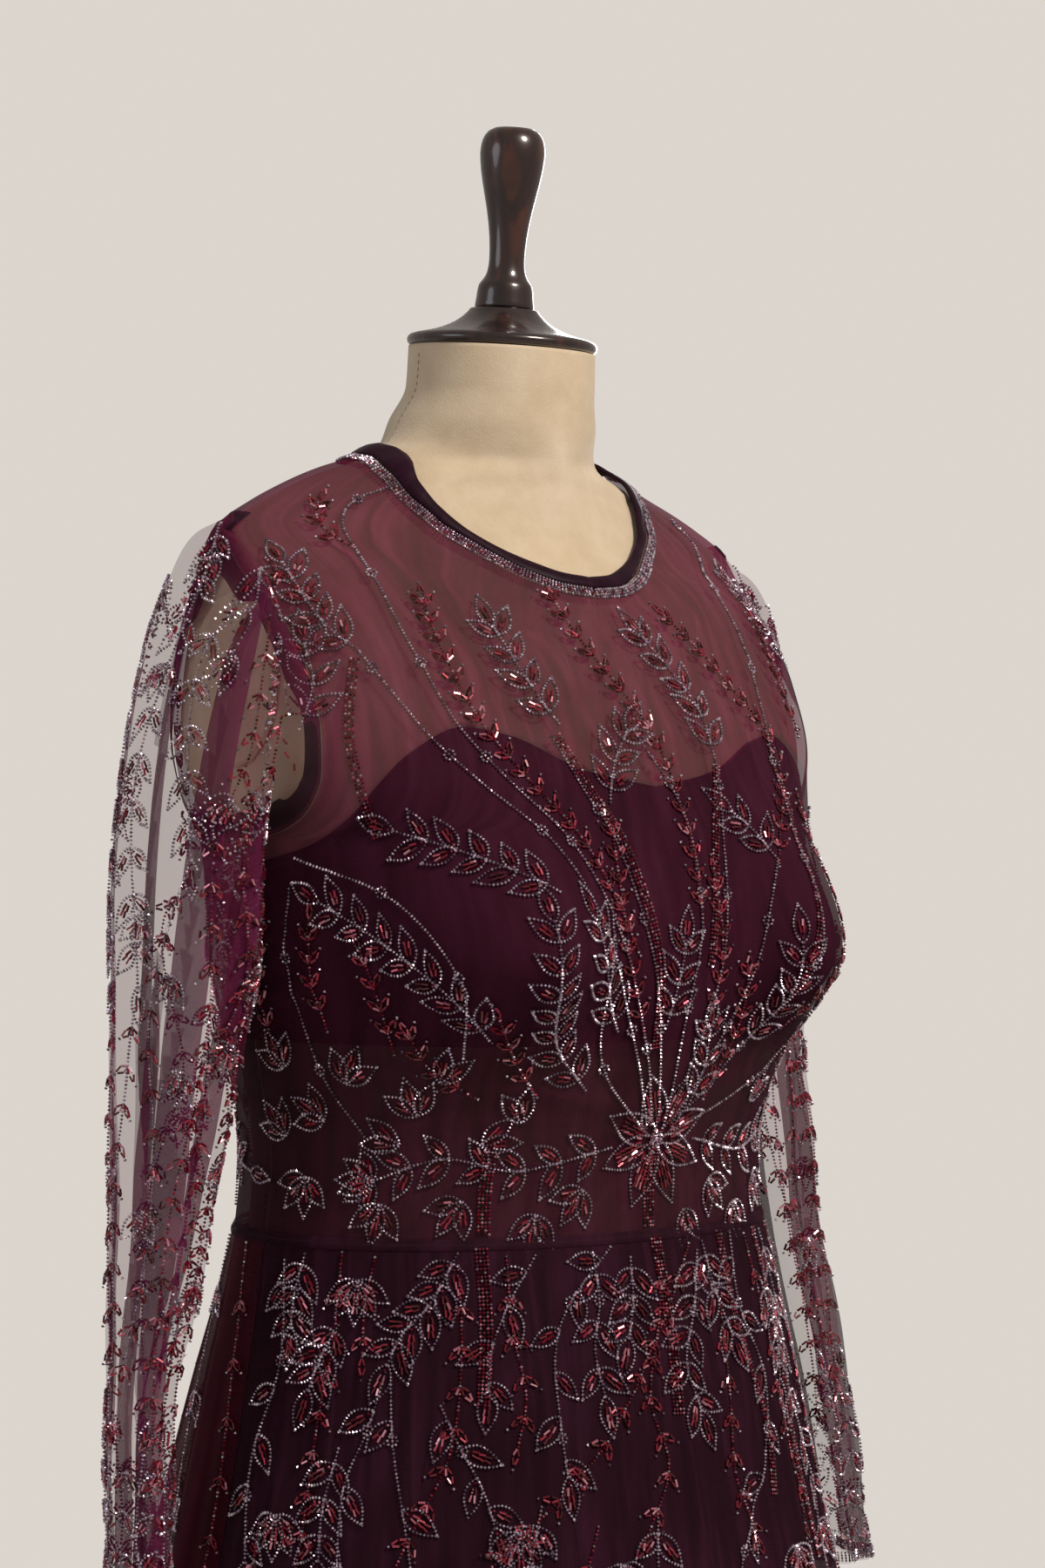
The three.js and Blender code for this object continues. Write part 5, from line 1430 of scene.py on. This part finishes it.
# %% [markdown]
# At the back of the neck a small button covered with the binding's satin closes the gown under a
# thread loop. A covered button is a domed metal shell with cloth drawn over it, so it is spun.

# %% The covered button
BUTTON_ANGLE, BUTTON_BELOW_NECK, BUTTON_MIDDLE = 174.0, 10, 2.05
BUTTON_PROFILE = [(0, 0.1), (2.4, 0.1), (4.1, 0.4), (4.8, 1.1), (5, 1.9), (4.7, 2.7), (3.9, 3.3),
                  (2.6, 3.75), (1.2, 3.95), (0, 4)]
button_low, button_high = (Vector(corner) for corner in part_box("back_button"))
button_middle = (button_low + button_high) / 2
neck_height = float(back_place((180 - BUTTON_ANGLE) / 90, TOP_ROW)[1])
button_height = neck_height - BUTTON_BELOW_NECK
_, _, button_out, _, _, _ = frame_at("bodice", np.array([BUTTON_ANGLE]),
                                     np.array([button_height]))
face_out = Vector(button_out[0]).to_track_quat("Z", "Y").to_matrix().to_4x4()
turned("satin_back_button", BUTTON_PROFILE,
       Matrix.Translation(button_middle) @ face_out @ raised(-BUTTON_MIDDLE), "back_button",
       neck_satin)
print("button middle, m:", [round(c, 4) for c in button_middle])

# %% The thread loop round the button
LOOP_REACH, LOOP_RADIUS, LOOP_LIFT, THREAD_RADIUS = 8.5, 5.6, 1.0, 0.45
turn = np.linspace(0.2, 2 * math.pi - 0.2, 48)
to_edge = [LOOP_REACH, LOOP_REACH]
east = np.concatenate([to_edge, LOOP_RADIUS * np.cos(turn), to_edge])
east[[0, -1]] += 0.3
north = np.concatenate([[0.8, 0.8], LOOP_RADIUS * np.sin(turn), [-0.8, -0.8]])
around_button = moved("bodice", np.full(len(east), BUTTON_ANGLE),
                      np.full(len(east), button_height), east, north)
line = bodice_point(*around_button, LOOP_LIFT)
_, _, out, _, _, _ = frame_at("bodice", *around_button)
aside = np.cross(out, unit(np.gradient(line, axis=0)))
thick = np.full((len(east), 1, 1), THREAD_RADIUS)
thick[[0, -1]] = 0.02
section = np.linspace(0, 2 * math.pi, 8, endpoint=False)[:, None]
tube = line[:, None] + thick * (aside[:, None] * np.cos(section) + out[:, None] * np.sin(section))
loop = finish_piece(grid_sheet("thread_button_loop", tube, closed=True), plum_thread)
print("thread of the loop, mm:", round(float(run_of(line)[-1]), 1))

# %% [markdown]
# What stays of the solids: the oval armhole plates with their screws, the pole and the base. They
# are plain in real life too, so they only need their finishes.

# %% Finishes of the plates, screws, pole and base
dark_steel, tree, shader = new_finish("satin black steel, powder coated", {
    "Metallic": 0.5, "Roughness": 0.42})
grit = noise(tree, object_place(tree), {"Scale": 420.0, "Detail": 3.0})
colour_by(tree, shader, grit, [(0.3, "#1D1B1A"), (0.7, "#35322F")])
for node, material in (("armhole_plate_right", suede), ("armhole_plate_left", suede),
                       ("plate_screw_right", dark_steel), ("plate_screw_left", dark_steel),
                       ("stand_pole", dark_steel), ("stand_base", espresso)):
    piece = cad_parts[node]
    piece.data.materials.clear()
    piece.data.materials.append(material)

# %% [markdown]
# A flat pale floor, a camera set as the photographer stood, and the soft light of a bright room.

# %% Camera, floor and light
CAMERA_AZIMUTH, CAMERA_DISTANCE, CAMERA_HEIGHT = -39, 1.9, 1.2445
CAMERA_RISE, CAMERA_ASIDE = 0.931, -0.358  # how far it looks up and aside, in degrees
ROOM_LIGHT = 0.42


def around_gown(azimuth, distance, height):
    """A place round the gown: azimuth 0 is straight in front of it."""
    turn = math.radians(azimuth)
    return math.sin(turn) * distance, -math.cos(turn) * distance, height


camera_data = bpy.data.cameras.new("camera")
camera_data.sensor_fit = "VERTICAL"
camera_data.sensor_height = 36
camera_data.lens = 80
camera = add_object("camera", camera_data)
bpy.context.scene.camera = camera
camera.location = around_gown(CAMERA_AZIMUTH, CAMERA_DISTANCE, CAMERA_HEIGHT)
camera.rotation_euler = (math.radians(90 + CAMERA_RISE), 0,
                         math.radians(CAMERA_AZIMUTH + CAMERA_ASIDE))

bpy.ops.object.select_all(action="DESELECT")
bpy.ops.mesh.primitive_plane_add(size=14, location=(0, 0, -0.001))
floor = bpy.context.object
floor.name = "floor"
floor_paint, tree, shader = new_finish("pale matt floor", {
    "Base Color": linear("#E6E1DA"), "Roughness": 0.9})
away = add_node(tree, "ShaderNodeVectorMath", {"operation": "LENGTH"})
tree.links.new(object_place(tree), away.inputs[0])
fade = add_node(tree, "ShaderNodeMapRange", {"interpolation_type": "SMOOTHSTEP"},
                {"From Min": 0.6, "From Max": 3.0, "To Min": 1.0, "To Max": 0.0},
                {"Value": away.outputs["Value"]})
tree.links.new(fade.outputs["Result"], shader.inputs["Alpha"])
floor.data.materials.append(floor_paint)

world = bpy.data.worlds.new("bright room")
bpy.context.scene.world = world
world.use_nodes = True
backdrop = world.node_tree.nodes["Background"]
backdrop.inputs["Color"].default_value = linear("#DCD5CE")
seen = add_node(world.node_tree, "ShaderNodeLightPath").outputs["Is Camera Ray"]
strength = add_node(world.node_tree, "ShaderNodeMapRange",
                    values={"To Min": ROOM_LIGHT, "To Max": 1.0}, links={"Value": seen})
world.node_tree.links.new(strength.outputs["Result"], backdrop.inputs["Strength"])
bpy.context.scene.view_settings.view_transform = "Standard"


LIGHTS_AIM = 1.2


def soft_light(name, azimuth, height, distance, size, power, colour):
    data = bpy.data.lights.new(name, "AREA")
    data.shape = "DISK"
    data.size = size
    data.energy = power
    data.color = linear(colour)[:3]
    lamp = add_object(name, data)
    lamp.location = around_gown(azimuth, distance, height)
    aim = Vector((0, 0, LIGHTS_AIM)) - lamp.location
    lamp.rotation_euler = aim.to_track_quat("-Z", "Y").to_euler()


soft_light("key", 8, 3.2, 2.2, 0.8, 66, "#FFF4E8")
soft_light("fill", -100, 2.0, 3.0, 1.6, 11, "#F4F4FF")
soft_light("rim", 130, 2.0, 3.0, 1.4, 22, "#FFFFFF")
